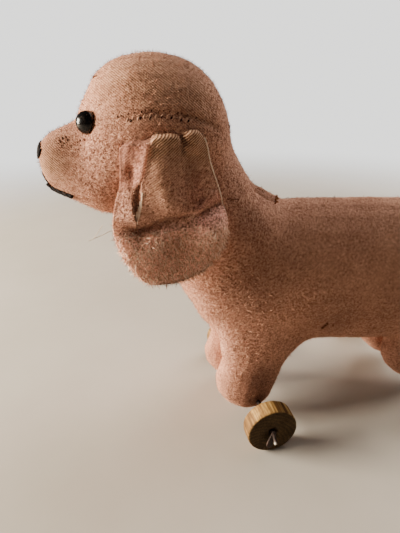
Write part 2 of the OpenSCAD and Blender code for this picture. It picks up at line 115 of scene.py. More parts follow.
def screen_colour(red, green, blue):
    """A colour as it looks on a screen, 0 to 255, as light values."""
    levels = (channel / 255 for channel in (red, green, blue))
    light = [((c + 0.055) / 1.055) ** 2.4 if c > 0.04 else c / 12.92 for c in levels]
    return (*light, 1)


def add_node(tree, kind, inputs=None, **settings):
    """A node with its settings made and its inputs set or linked."""
    made = tree.nodes.new(kind if kind.startswith(NOT_SHADERS) else "ShaderNode" + kind)
    for name, value in settings.items():
        setattr(made, name, value)
    for name, value in (inputs or {}).items():
        if isinstance(value, bpy.types.NodeSocket):
            tree.links.new(value, made.inputs[name])
        else:
            made.inputs[name].default_value = value
    return made


def add_ramp(tree, value, stops):
    """The colours of a ramp with stops of place and colour, read at a value."""
    made = add_node(tree, "ValToRGB", {"Fac": value})
    elements = made.color_ramp.elements
    while len(elements) < len(stops):
        elements.new(1)
    for element, (place, colour) in zip(elements, stops):
        element.position = place
        element.color = colour
    return made.outputs["Color"]


def mix_colours(tree, share, first, second, blend="MIX"):
    """Two colours mixed by a share from 0 to 1."""
    inputs = {0: share, 6: first, 7: second}
    return add_node(tree, "Mix", inputs, data_type="RGBA", blend_type=blend).outputs[2]


def reckon(tree, operation, *values):
    """The result of a small sum in the shader."""
    return add_node(tree, "Math", dict(enumerate(values)), operation=operation).outputs[0]


def weigh(tree, *parts):
    """The sum of two values, each times its share."""
    first, second = (reckon(tree, "MULTIPLY", *part) for part in parts)
    return reckon(tree, "ADD", first, second)


def read(tree, name):
    """A number that is painted on the mesh."""
    return add_node(tree, "Attribute", attribute_name=name).outputs["Fac"]


def new_material(name, roughness, shine=0.5):
    """A material, its node tree, its one surface shader and the place that it shades."""
    material = bpy.data.materials.new(name)
    material.use_nodes = True
    tree = material.node_tree
    tree.nodes.clear()
    looks = {"Roughness": roughness, "Specular IOR Level": shine}
    surface = add_node(tree, "BsdfPrincipled", looks)
    add_node(tree, "OutputMaterial", {"Surface": surface.outputs[0]})
    return material, tree, surface, add_node(tree, "TexCoord").outputs["Object"]


def cover(tree, surface, colour, height, strength, distance):
    """Plugs a colour and the bumps of a height into a surface."""
    bump = add_node(tree, "Bump", {"Height": height, "Strength": strength, "Distance": distance})
    tree.links.new(colour, surface.inputs["Base Color"])
    tree.links.new(bump.outputs[0], surface.inputs["Normal"])


def speckle(tree, place, scale, detail=3, roughness=0.6):
    """Clouds of noise with so many lumps to the metre."""
    inputs = {"Vector": place, "Scale": scale, "Detail": detail, "Roughness": roughness}
    return add_node(tree, "TexNoise", inputs).outputs[0]


# %% [markdown]
# The felt is a velveteen: a twill ground with a short nap. The nap lies in all directions, so
# short light fibres cross over darker ground. Where hands have rubbed it off, the slanted ribs
# of the twill show and the colour has gone from pink to tan. The shader reads from the mesh how
# worn, calm and rosy each place is, how far soil and painted shade darken it, and how far a dust
# tint and painted light make it paler, because wear belongs to places and not to a pattern.

# %% Felt
FELT_LIGHT = screen_colour(242, 190, 157)
FELT_MIDDLE = screen_colour(193, 138, 113)
FELT_DEEP = screen_colour(88, 52, 40)
FELT_MEAN = screen_colour(188, 135, 109)
TWILL_LIGHT = screen_colour(214, 168, 130)
TWILL_DEEP = screen_colour(114, 76, 54)
# a soil colour that also darkens places with painted shade
SOIL_AND_SHADE_COLOUR = screen_colour(66, 36, 26)
# the dust tint also makes places paler with painted light
ROSE_TINT, DUST_AND_LIGHT_TINT = (1.1, 0.9, 0.97, 1), (1.52, 1.65, 1.8, 1)
BLOTCH_TINTS = [(0.32, (0.82, 0.76, 0.72)), (0.68, (1.1, 1.08, 1.06))]
SKIN_CAST, EAR_CAST = (1, 1, 1.06), (1.1, 1.14, 1.26)
GROUND_SCALE, BLOTCH_SCALE, BARE_SCALE, WAVER_SCALE = 1100, 70, 330, 260
FIBRE_WAYS = [(6, 25, 10), (27, -40, 70), (-18, 65, 120)]
FIBRE_STRETCH = (420, 2300, 2300)
FIBRE_CURL = 1.6 * MM
RIB_PITCH = 0.64 * MM
SKIN_RIBS, EAR_RIBS = 50, -52
WAVE_PERIOD = 2 * math.pi / 20
SHEEN = {"Sheen Weight": 0.12, "Sheen Roughness": 0.5, "Sheen Tint": screen_colour(255, 200, 160)}


def fibre_layer(tree, place, turn):
    """Streaks of fibres that lie one way, as stretched noise."""
    angles = tuple(math.radians(angle) for angle in turn)
    turned = add_node(tree, "Mapping", {"Vector": place, "Rotation": angles}).outputs[0]
    squeezed = add_node(tree, "Mapping", {"Vector": turned, "Scale": FIBRE_STRETCH}).outputs[0]
    return speckle(tree, squeezed, 1, 2, 0.5)


def make_felt(name, rib_slant, cast):
    """Worn velveteen: nap, wear, soil, tints, painted shade and painted light follow the mesh."""
    material, tree, surface, place = new_material(name, 0.95, 0.12)
    waver = {"Vector": place, "Scale": WAVER_SCALE, "Detail": 1}
    bend = {0: add_node(tree, "TexNoise", waver).outputs["Color"], "Scale": FIBRE_CURL}
    bent = add_node(tree, "VectorMath", bend, operation="SCALE").outputs[0]
    curled = add_node(tree, "VectorMath", {0: place, 1: bent}, operation="ADD").outputs[0]
    one, two, three = (fibre_layer(tree, curled, turn) for turn in FIBRE_WAYS)
    fibres = reckon(tree, "MAXIMUM", reckon(tree, "MAXIMUM", one, two), three)
    ground = speckle(tree, place, GROUND_SCALE, 4, 0.7)
    nap = weigh(tree, (fibres, 0.6), (ground, 0.4))
    colour = add_ramp(tree, nap, [(0.45, FELT_DEEP), (0.55, FELT_MIDDLE), (0.64, FELT_LIGHT)])
    blotches = speckle(tree, place, BLOTCH_SCALE, 3, 0.55)
    calm = reckon(tree, "MULTIPLY_ADD", read(tree, "calm"), 0.75, -0.2)
    quiet = reckon(tree, "MULTIPLY_ADD", blotches, 0.5, calm)
    colour = mix_colours(tree, quiet, colour, FELT_MEAN)

    turn = {"Vector": place, "Rotation": (0, math.radians(rib_slant), 0)}
    waves = {"Vector": add_node(tree, "Mapping", turn).outputs[0],
        "Scale": WAVE_PERIOD / RIB_PITCH, "Distortion": 1.5, "Detail": 2, "Detail Scale": 4}
    ribs = add_node(tree, "TexWave", waves).outputs[1]
    threads = weigh(tree, (ribs, 0.55), (ground, 0.6))
    twill = add_ramp(tree, threads, [(0.36, TWILL_DEEP), (0.78, TWILL_LIGHT)])
    uneven = reckon(tree, "MULTIPLY_ADD", speckle(tree, place, BARE_SCALE, 4, 0.6), 1.6, 0.2)
    share = {0: read(tree, "worn"), 1: uneven}
    bare = add_node(tree, "Math", share, operation="MULTIPLY", use_clamp=True).outputs[0]
    colour = mix_colours(tree, bare, colour, twill)

    tints = [(at, (*(c * more for c, more in zip(tint, cast)), 1)) for at, tint in BLOTCH_TINTS]
    colour = mix_colours(tree, 0.8, colour, add_ramp(tree, blotches, tints), "MULTIPLY")
    colour = mix_colours(tree, read(tree, "rosy"), colour, ROSE_TINT, "MULTIPLY")
    # a dust tint and painted light make the lower ears paler
    colour = mix_colours(tree, read(tree, "dusty"), colour, DUST_AND_LIGHT_TINT, "MULTIPLY")
    # soil and painted shade darken the cloth
    colour = mix_colours(tree, read(tree, "soil_and_shade"), colour, SOIL_AND_SHADE_COLOUR)
    napped, ribbed = (reckon(tree, "MULTIPLY", *part) for part in ((nap, 1.6), (threads, 0.55)))
    cover(tree, surface, colour, mix_colours(tree, bare, napped, ribbed), 0.9, 0.55 * MM)
    for socket, value in SHEEN.items():
        surface.inputs[socket].default_value = value
    return material


felt = make_felt("felt", SKIN_RIBS, SKIN_CAST)
ear_felt = make_felt("ear_felt", EAR_RIBS, EAR_CAST)
print("materials", felt.name, ear_felt.name)

# %% [markdown]
# Thread, button, rusted wire and wood are simpler. The thread is matt black with a hint of brown
# where it has faded. The button is moulded and glossy, with dust and fine scratches that break
# up its shine. The wire has dark rust with brighter spots, and a painted highlight on one end.

# %% Thread, button and iron


def make_thread(name, colour, faded):
    """Spun thread with faded stretches."""
    material, tree, surface, place = new_material(name, 0.8, 0.06)
    shade = add_ramp(tree, speckle(tree, place, 700, 3), [(0.45, colour), (0.75, faded)])
    cover(tree, surface, shade, speckle(tree, place, 4000), 0.5, 0.1 * MM)
    return material


def make_button(name):
    """Glossy black moulding with a little dust and fine scratches."""
    material, tree, surface, place = new_material(name, 0.5, 0.26)
    dusty = [(0.55, screen_colour(14, 12, 12)), (0.8, screen_colour(62, 54, 48))]
    scratched = [(0.4, (0.12, 0.12, 0.12, 1)), (0.75, (0.32, 0.32, 0.32, 1))]
    dust = add_ramp(tree, speckle(tree, place, 900, 4), dusty)
    scratches = add_ramp(tree, speckle(tree, place, 1500, 5), scratched)
    tree.links.new(dust, surface.inputs["Base Color"])
    tree.links.new(scratches, surface.inputs["Roughness"])
    return material


def make_iron(name):
    """Rusted iron wire with a painted highlight where one painted attribute is 1."""
    material, tree, surface, place = new_material(name, 0.6)
    rust = speckle(tree, place, 650, 5, 0.7)
    stops = [(0.35, screen_colour(30, 21, 18)), (0.54, screen_colour(54, 35, 28)),
        (0.72, screen_colour(88, 64, 52))]
    # a nearly white painted highlight
    glint_colour = screen_colour(236, 226, 208)
    colour = mix_colours(tree, read(tree, "painted_glint"), add_ramp(tree, rust, stops), glint_colour)
    cover(tree, surface, colour, rust, 0.7, 0.3 * MM)
    surface.inputs["Metallic"].default_value = 0.3
    return material


black_thread = make_thread("black_thread", screen_colour(18, 15, 15), screen_colour(42, 33, 28))
brown_thread = make_thread("brown_thread", screen_colour(44, 24, 18), screen_colour(88, 52, 38))
button_black = make_button("button_black")
rusted_iron = make_iron("rusted_iron")
print("materials", len(bpy.data.materials))

# %% [markdown]
# Wheels of this kind were sliced from a turned rod. So the rim shows the long grain as stripes
# from face to face, and the faces show the pores and rings of the end grain, which soaks up
# dirt and is darker; painted shade darkens the faces further. The pattern runs on coordinates
# centred on each wheel.

# %% Wood
RIM_PALE = screen_colour(204, 166, 100)
RIM_MIDDLE = screen_colour(140, 104, 60)
RIM_BROWN = screen_colour(92, 64, 36)
# the faces' end grain, darkened further with painted shade
FACE_PALE_SHADED = screen_colour(94, 72, 42)
FACE_BROWN_SHADED = screen_colour(50, 36, 20)
DIRT, CLEAN = (0.5, 0.44, 0.38, 1), (1, 1, 1, 1)
PITH_OFF = (6 * MM, 0, 9 * MM)
RING_PITCH = 1.7 * MM


def make_wood(name, centre):
    """A slice of a turned rod; its faces, marked 1 by an attribute, are end grain with painted
    shade.
    """
    material, tree, surface, place = new_material(name, 0.72, 0.15)
    centred = add_node(tree, "Mapping", {"Vector": place, "Location": -centre}).outputs[0]
    along = add_node(tree, "Mapping", {"Vector": centred, "Scale": (1, 0.06, 1)}).outputs[0]
    stripes = speckle(tree, along, 300, 5, 0.7)
    rim = add_ramp(tree, stripes, [(0.39, RIM_BROWN), (0.5, RIM_MIDDLE), (0.6, RIM_PALE)])
    off_pith = add_node(tree, "Mapping", {"Vector": centred, "Location": PITH_OFF}).outputs[0]
    waves = {"Vector": off_pith, "Scale": WAVE_PERIOD / RING_PITCH, "Distortion": 2.5,
        "Detail": 3, "Detail Scale": 1.5}
    rings = add_node(tree, "TexWave", waves, wave_type="RINGS", rings_direction="Y").outputs[0]
    grain = weigh(tree, (rings, 0.14), (speckle(tree, centred, 1300, 4, 0.7), 0.86))
    face = add_ramp(tree, grain, [(0.3, FACE_BROWN_SHADED), (0.72, FACE_PALE_SHADED)])
    # the faces get the darker end grain with painted shade
    colour = mix_colours(tree, read(tree, "end_grain_and_shade"), rim, face)
    dirt = add_ramp(tree, speckle(tree, place, 160, 4), [(0.38, DIRT), (0.6, CLEAN)])
    colour = mix_colours(tree, 0.75, colour, dirt, "MULTIPLY")
    cover(tree, surface, colour, reckon(tree, "ADD", stripes, grain), 0.45, 0.25 * MM)
    return material


# %% [markdown]
# Mesh helpers come next. A mesh is handled as an array of its points, which is quick, and
# smoothing is a few lines: each point moves towards the mean of its neighbours. Moving in and
# out by turns smooths a form without shrinking it.

# %% Helpers for meshes


def linked(name, shape):
    """A new object made from a bmesh, which is freed."""
    mesh = bpy.data.meshes.new(name)
    shape.to_mesh(mesh)
    shape.free()
    return new_object(name, mesh)


def final_mesh(obj):
    """The mesh that an object's modifiers or its curve make."""
    seen = obj.evaluated_get(bpy.context.evaluated_depsgraph_get())
    return bpy.data.meshes.new_from_object(seen)


def with_modifier(obj, kind, **settings):
    """Adds one modifier, makes it part of the mesh and returns the object."""
    modifier = obj.modifiers.new(kind.lower(), kind)
    for name, value in settings.items():
        setattr(modifier, name, value)
    mesh = final_mesh(obj)
    obj.modifiers.clear()
    obj.data = mesh
    return obj


def surface_tree(obj):
    """A search tree of an object's faces."""
    return BVHTree.FromObject(obj, bpy.context.evaluated_depsgraph_get())


def places_of(mesh, name="co"):
    """The places or the normals of all points as an array."""
    values = np.empty(len(mesh.vertices) * 3)
    mesh.vertices.foreach_get(name, values)
    return values.reshape(-1, 3)


def move_to(mesh, places):
    """Gives a mesh new places for its points."""
    mesh.vertices.foreach_set("co", places.ravel())
    mesh.update()


def smoothed(mesh, places, steps, weight=1.0, inward=-0.53):
    """Places smoothed by steps in and out. With inward 0 the form shrinks into its fillets."""
    ends = np.empty(len(mesh.edges) * 2, dtype=np.int32)
    mesh.edges.foreach_get("vertices", ends)
    a, b = ends[0::2], ends[1::2]
    neighbours = np.bincount(ends, minlength=len(places))[:, None]
    weight = np.broadcast_to(np.asarray(weight, dtype=float).reshape(-1, 1), (len(places), 1))
    for step in range(steps):
        share = 0.5 if step % 2 == 0 or inward == 0 else inward
        total = np.stack([np.bincount(a, places[b, k], len(places))
            + np.bincount(b, places[a, k], len(places)) for k in range(3)], axis=1)
        places = places + share * weight * (total / neighbours - places)
    return places


def shade_smooth(obj):
    """Turns smooth shading on."""
    obj.data.polygons.foreach_set("use_smooth", [True] * len(obj.data.polygons))
    obj.data.update()
    return obj


def paint(obj, name, values):
    """Stores a number for each point under a name that shaders can read."""
    layer = obj.data.attributes.new(name, "FLOAT", "POINT")
    layer.data.foreach_set("value", np.asarray(values, dtype=np.float32))


def nearness(places, path, width):
    """How near each place is to the points of a path, from 0 to 1."""
    tree = KDTree(len(path))
    for index, place in enumerate(path):
        tree.insert(place, index)
    tree.balance()
    apart = np.array([tree.find(co)[2] for co in places])
    return np.exp(-(apart / width) ** 2)


def lumps(places, spacing):
    """Smooth noise at each place, with lumps of one size."""
    return np.array([noise.noise(Vector(co) / spacing) for co in places])


def finish_piece(obj, material, body):
    """Gives a piece its material and its body."""
    obj.data.materials.clear()
    obj.data.materials.append(material)
    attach(obj, body)
    return obj


# %% [markdown]
# On the real toy the skin is sewn first and stuffed hard afterwards, so it is one unbroken
# surface: the neck flows into the chest and the legs into the belly. The model has these parts
# as separate solids. Here copies of them are joined and wrapped in one new skin of small even
# squares, by a voxel remesh, which suits a form that grows out of crossing parts.

# %% Wrap the stuffed parts in one skin
STUFFED = ["torso", "neck", "head", "tail",
    "front_left_leg", "front_right_leg", "rear_left_leg", "rear_right_leg"]
INNER_WIRES = ["back_wire", "front_leg_wire", "rear_leg_wire"]
SKIN_VOXEL = 0.82 * MM
PLUG_R, PLUG_L = 1.6 * MM, 13 * MM

foot_y = {side: sum(c.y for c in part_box(f"front_{side}_leg")) / 2 for side in SIDES}
lying = Matrix.Rotation(math.pi / 2, 4, "X")
shape = bmesh.new()
for node_name in STUFFED + INNER_WIRES:
    shape.from_mesh(frame["nodes"][node_name].data)
for axle_x in (front_axle_x, rear_axle_x):
    for side in SIDES:
        bmesh.ops.create_cone(shape, cap_ends=True, segments=16, radius1=PLUG_R, radius2=PLUG_R,
            depth=PLUG_L, matrix=Matrix.Translation((axle_x, foot_y[side], axle_height)) @ lying)
skin = linked("sewn_skin", shape)
with_modifier(skin, "REMESH", mode="VOXEL", voxel_size=SKIN_VOXEL)
print("skin of", len(skin.data.polygons), "squares")

# %% [markdown]
# Where two stuffed parts meet, the cloth bridges the corner. The points near such a meeting are
# found from the solids: a point of one that lies on the surface of another is on their seam.
# They are smoothed much more than the rest, which only loses the facets of the solids.

# %% Round the meetings of the parts
MEETINGS = [("neck", "torso"), ("neck", "head"), ("tail", "torso"),
    ("front_left_leg", "torso"), ("front_right_leg", "torso"), ("front_left_leg", "neck"),
    ("front_right_leg", "neck"), ("rear_left_leg", "torso"), ("rear_right_leg", "torso")]
ON_SURFACE = 0.05 * MM
MEETING_REACH = {"neck": 6.5 * MM, "tail": 3 * MM}
LEG_REACH = 6 * MM

trees = {name: surface_tree(frame["nodes"][name]) for name in STUFFED}
places = places_of(skin.data)
bridged = np.zeros(len(places))
for cut, cutter in MEETINGS:
    touching = [v.co for v in frame["nodes"][cut].data.vertices
        if trees[cutter].find_nearest(v.co)[3] < ON_SURFACE]
    print(cut, "meets", cutter, "at", len(touching), "points")
    if touching:
        near = nearness(places, touching, MEETING_REACH.get(cut, LEG_REACH))
        bridged = np.maximum(bridged, near)
places = smoothed(skin.data, places, 150, bridged ** 1.5, inward=0)
places = smoothed(skin.data, places, 44)
move_to(skin.data, places)
print("points near a meeting:", int((bridged > 0.5).sum()))

# %% [markdown]
# With the skin in place, a pixel of the photograph can be turned into a point on it. Left and
# right are alike on a sewn toy, so each place found on the near side has its twin on the far
# side.

# %% Find places on the skin
skin_tree = surface_tree(skin)


def seen_at(px, py):
    """The place on the skin that shows at a pixel, or that comes nearest to its line of sight."""
    start, way = sight_line(px, py)
    hit = skin_tree.ray_cast(start, way)[0]
    if hit is None:
        steps = [start + way * (100 + 0.5 * k) * MM for k in range(500)]
        hit = min((skin_tree.find_nearest(step) for step in steps), key=lambda found: found[3])[0]
    return hit


def on_skin(place, above=0.0):
    """The nearest place on the skin, lifted off it, with the way the skin faces there."""
    hit, normal = skin_tree.find_nearest(place)[:2]
    return hit + normal * above, normal


def even_path(corners, step):
    """Places at even steps along a smooth line over the skin through its corners."""
    line = [corners[0]]
    padded = [corners[0]] + list(corners) + [corners[-1]]
    for a, b, c, d in zip(padded, padded[1:], padded[2:], padded[3:]):
        count = max(2, int((c - b).length / step))
        for k in range(1, count + 1):
            t = k / count
            line.append(0.5 * (2 * b + (c - a) * t + (2 * a - 5 * b + 4 * c - d) * t ** 2
                + (3 * b - 3 * c + d - a) * t ** 3))
    return [on_skin(place)[0] for place in line]


def pixel_path(pixels, step):
    """An even path over the skin through the places that show at some pixels."""
    return even_path([seen_at(*pixel) for pixel in pixels], step)


def mirrored(path):
    """A path on the other side of the toy."""
    return [Vector((place.x, -place.y, place.z)) for place in path]


def length_of(path):
    """The length of a path in millimetres."""
    return round(sum((b - a).length for a, b in zip(path, path[1:])) / MM)


GUSSET_PIXELS = [(101, 119.5), (117, 118.5), (134, 115), (156, 112.5), (180, 115), (203, 121.5),
    (220, 129.5)]
gusset = pixel_path(GUSSET_PIXELS, 0.6 * MM)
print("gusset seam", length_of(gusset), "mm")

# %% [markdown]
# The seams draw the cloth in, the eyes are pulled into their sockets by a thread through the
# head, and the stuffing is never quite even. All of this is shape, so it goes into the mesh:
# each point moves along its normal by an amount that depends on what is near.

# %% Draw in the seams and sockets
SEAM_DEPTH, SEAM_WIDTH = 0.45 * MM, 1.0 * MM
SOCKET_DEPTH, SOCKET_WIDTH = 0.9 * MM, 4.6 * MM
WITHERS_RISE, WITHERS_WIDTH, WITHERS_LINE = 0.9 * MM, 2.1 * MM, 0.8 * MM
PINCH_DEPTH, PINCH_WIDTH = 1.1 * MM, 0.9 * MM
BROW_RISE, BROW_WIDTH = 1.3 * MM, 5 * MM
CHEST_FLAT, CHEST_WIDTH = 2.2 * MM, 9 * MM
LUMPS = [(14 * MM, 0.35 * MM), (5 * MM, 0.12 * MM), (2.2 * MM, 0.06 * MM)]
CHIN_PIXELS = [(46, 181), (52, 187), (60, 191), (72, 196), (86, 202)]
WITHERS_PIXELS = [(261, 189.5), (266, 192.8), (271, 196), (276, 198)]
WITHERS_LINE_PIXELS = [(255, 190), (262, 195), (268, 198.5), (273, 200.5)]
PINCH_PIXELS = [(321.5, 328.5), (325.5, 326), (329, 322.5)]
BROW_PIXEL, CHEST_PIXEL = (81.5, 107), (190, 306)

eye_centre = {side: sum(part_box(f"{side}_eye"), Vector()) / 2 for side in SIDES}
eye_seat = {side: on_skin(eye_centre[side])[0] for side in SIDES}
chin_line = pixel_path(CHIN_PIXELS, 0.6 * MM)
withers = pixel_path(WITHERS_PIXELS, 0.5 * MM)
withers_line = pixel_path(WITHERS_LINE_PIXELS, 0.5 * MM)
pinch = pixel_path(PINCH_PIXELS, 0.5 * MM)
start, way = sight_line(*BROW_PIXEL)
brow = on_skin(start + way * (-start.y / way.y))[0]
chest = seen_at(*CHEST_PIXEL)
DRAWN_IN = [(gusset, SEAM_DEPTH, SEAM_WIDTH), (mirrored(gusset), SEAM_DEPTH, SEAM_WIDTH),
    ([eye_seat["left"]], SOCKET_DEPTH, SOCKET_WIDTH),
    ([eye_seat["right"]], SOCKET_DEPTH, SOCKET_WIDTH),
    (withers + mirrored(withers), -WITHERS_RISE, WITHERS_WIDTH),
    (withers_line + mirrored(withers_line), WITHERS_RISE, WITHERS_LINE),
    (pinch, PINCH_DEPTH, PINCH_WIDTH), ([brow], -BROW_RISE, BROW_WIDTH),
    ([chest] + mirrored([chest]), CHEST_FLAT, CHEST_WIDTH)]
places = places_of(skin.data)
depth = np.zeros(len(places))
for path, drawn, width in DRAWN_IN:
    depth += drawn * nearness(places, path, width)
for spacing, height in LUMPS:
    depth += height * lumps(places, spacing)
move_to(skin.data, places - places_of(skin.data, "normal") * depth[:, None])
print("deepest place", round(depth.max() / MM, 2), "mm")

# %% [markdown]
# Wear, soil and painted shade are painted on the points. The muzzle, the brow and the top of the
# head are rubbed to the twill, as a child's hand rubs them. The seams, the withers line, the pinch
# of the belly and a few small marks are darker. Painted shade darkens round the eyes, under the
# mouth, where the axles enter the feet, and in broad soft spots on the muzzle, the shoulder, the
# belly, the front leg and the neck under the ear. Two more coats say where the nap lies calm and
# where it is shaggy. Each spot is a pixel, a width in millimetres and a strength.

# %% Paint wear, soil and painted shade
WORN_SPOTS = [((47, 163), 8, 0.85), ((58, 152), 7, 0.4), ((122, 75), 14, 0.55),
    ((160, 75), 17, 0.6), ((190, 92), 14, 0.55), ((320, 260), 30, 0.3), ((390, 260), 30, 0.3)]
# small dark marks, painted shade where the axles enter the feet, and broad spots of painted shade
# on the muzzle, the belly, the shoulder, the leg and the neck under the ear
SOIL_AND_SHADE_SPOTS = [((64, 139), 2, 0.3), ((82, 141), 2, 0.3), ((262, 192), 5, 0.5),
    ((95, 192), 7, 0.15), ((327, 326), 1.2, 0.5), ((260, 400), 5, 0.8),
    ((252, 402), 4, 0.5), ((60, 162), 12, 0.42), ((274, 199), 2.5, 0.4), ((335, 325), 16, 0.36),
    ((385, 325), 16, 0.3), ((252, 280), 17, 0.36), ((258, 374), 8, 0.36), ((235, 180), 12, 0.2),
    ((242, 225), 14, 0.26)]
SHAGGY_SPOTS = [((235, 305), 20, 1.0), ((210, 320), 12, 0.9), ((290, 300), 24, 0.5),
    ((240, 240), 14, 0.5), ((232, 350), 10, 0.5), ((340, 300), 24, 0.25)]
CALM_SPOTS = [((222, 385), 12, 0.75), ((245, 385), 10, 0.6), ((210, 345), 8, 0.6),
    ((385, 350), 16, 0.6), ((340, 230), 38, 0.45), ((390, 270), 30, 0.45), ((110, 90), 14, 0.45),
    ((50, 160), 12, 0.4), ((320, 320), 20, 0.4)]
# darker lines along the seams, the withers line and the belly pinch; painted shade under the mouth
# and round the eyes
SOIL_AND_SHADE_LINES = [(gusset + mirrored(gusset), 0.8, 0.36),
    (chin_line + mirrored(chin_line), 1.2, 0.35),
    (withers_line + mirrored(withers_line), 0.8, 0.6), (pinch, 0.9, 0.7),
    ([eye_seat["left"]], 4.4, 0.45), ([eye_seat["right"]], 4.4, 0.45)]
places = places_of(skin.data)
skin_tree = surface_tree(skin)


def painted(spots):
    """A coat of soft spots, alike on both sides of the toy."""
    paths = [([seen_at(*pixel)], width, strength) for pixel, width, strength in spots]
    return lined([(path + mirrored(path), width, strength) for path, width, strength in paths])


def lined(paths):
    """A coat that is strongest along paths."""
    return np.maximum.reduce([strength * nearness(places, path, width * MM)
        for path, width, strength in paths])


# soil and painted shade in one coat
soil_and_shade = np.maximum(painted(SOIL_AND_SHADE_SPOTS), lined(SOIL_AND_SHADE_LINES))
paint(skin, "worn", painted(WORN_SPOTS))
paint(skin, "soil_and_shade", soil_and_shade)
paint(skin, "calm", painted(CALM_SPOTS))
paint(skin, "shaggy", painted(SHAGGY_SPOTS))
shade_smooth(skin)
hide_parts(*STUFFED)
finish_piece(skin, felt, "dog")
print("soiled points", int((soil_and_shade > 0.3).sum()))

# %% [markdown]
# The ears come next, and their lines were measured on the photograph. Three small functions turn
# measures into form: a smooth line through points, a soft step and a soft hump.

# %% Lines, steps and humps


def through(points, at):
    """A smooth line through points of place and value, read at places."""
    xs, ys = (np.array(column, dtype=float) for column in zip(*points))
    slopes = np.gradient(ys, xs)
    at = np.clip(at, xs[0], xs[-1])
    i = np.clip(np.searchsorted(xs, at, side="right") - 1, 0, len(xs) - 2)
    span = xs[i + 1] - xs[i]
    t = (at - xs[i]) / span
    return ((2 * t ** 3 - 3 * t ** 2 + 1) * ys[i] + (t ** 3 - 2 * t ** 2 + t) * span * slopes[i]
        + (3 * t ** 2 - 2 * t ** 3) * ys[i + 1] + (t ** 3 - t ** 2) * span * slopes[i + 1])


def ramp(low, high, at):
    """A soft step from 0 at low to 1 at high."""
    k = np.clip((at - low) / (high - low), 0, 1)
    return k * k * (3 - 2 * k)


def hump(middle, width, at):
    """A soft hump of height 1."""
    return np.exp(-((at - middle) / width) ** 2)


# %% [markdown]
# Each ear is a flap of doubled cloth, gathered along its top where it is sewn on. Its front part
# is tucked under the middle panel, and below the tuck the fold gapes in a slit. A deep crease
# runs across it, and the lower half is puffed. All measures are in millimetres along the toy and
# down from the top of the ear. Edges are given by their share of the way down or along.

# %% The cut and the folds of an ear
FRONT_EDGE = [(0, -14.6), (0.03, -15.5), (0.11, -15.9), (0.21, -16.1), (0.33, -16.7), (0.45, -18.6),
    (0.53, -19.5), (0.62, -20), (0.71, -19.7), (0.8, -18.7), (0.89, -17.1), (1, -14.4)]
REAR_EDGE = [(0, 10.4), (0.04, 11.2), (0.19, 12.9), (0.4, 16.2), (0.53, 18), (0.63, 19),
    (0.73, 18.8), (0.84, 17.3), (0.93, 15.6), (1, 13.4)]
TOP_EDGE = [(0, 3.9), (0.1, 2.9), (0.29, 2.6), (0.335, 2.2), (0.37, 1.3), (0.42, 1.0), (0.51, 0.9),
    (0.63, 1.0), (0.68, 1.4), (0.715, 2.3), (0.75, 1.0), (0.8, 0.2), (0.88, 0), (0.95, 0.4),
    (1, 1.8)]
HEM = [(0, 46.6), (0.1, 49.9), (0.2, 51.4), (0.35, 51.8), (0.57, 51.2), (0.76, 49.6), (0.9, 48),
    (1, 45.8)]
FOLD = [(-3, -5.2), (1.3, -5.8), (4.5, -6.8), (8, -7.7), (11.3, -8.4), (13.9, -9.3), (16.4, -10.6),
    (19.9, -11.6), (23, -12), (28, -12.4), (52, -11)]
CREASE = [(-20, 30.3), (-14.4, 31.3), (-11.4, 31.9), (-8.1, 31), (-4, 29.2), (0.4, 28.2),
    (6.2, 27.8), (12.4, 26.4), (17, 25), (20, 24.5)]
CREASE_DEPTH = [(-20, 0.3), (-16, 1.6), (-12, 3.2), (-6, 3.2), (-1, 2.3), (4, 1.5), (9, 1.5),
    (13, 2.0), (16.5, 1.8), (20, 0.5)]
SECTION = [(-22, 25.2), (-15, 26), (-11, 27), (-6, 28), (-1.5, 28.6), (1.5, 28), (5.5, 25.9),
    (8, 25.4), (12, 25.0), (16, 24.0), (20, 22.9)]
PLEAT = [(15, -20), (20, 12.5), (23, 10.5), (27, 7.5), (31, 4.5), (36, -20)]
SLIT_TOP, SLIT_END, SLIT_HALF, SLIT_DEPTH = 15.6, 27.9, 1.4, 2.4
PUFFED_OUT, PUFFED_BOW, PUFFED_HALF = 27.3, 2.4, 19
PANEL_STEP = 2.0
SEWN_OUT, SEWN_BOW, TURNED_IN = 24.0, 0.0145, 1.3
FOLD_COLUMN = 0.36

ear_low, ear_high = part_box("left_ear_outer")
ear_hinge = {j["child"]: Vector(j["pos_m"]) for j in frame["joints"]}["left_ear"]
print("ear", round((ear_high.x - ear_low.x) / MM), "by", round((ear_high.z - ear_low.z) / MM), "mm")

# %% [markdown]
# The relief of the ear is one sum. It begins with the bow of the flap, and each fold, hollow and
# swell adds or takes away a little where it lies. The face then gets its turned-in top and its
# slit, whose lips part sideways.

# %% The relief of an ear


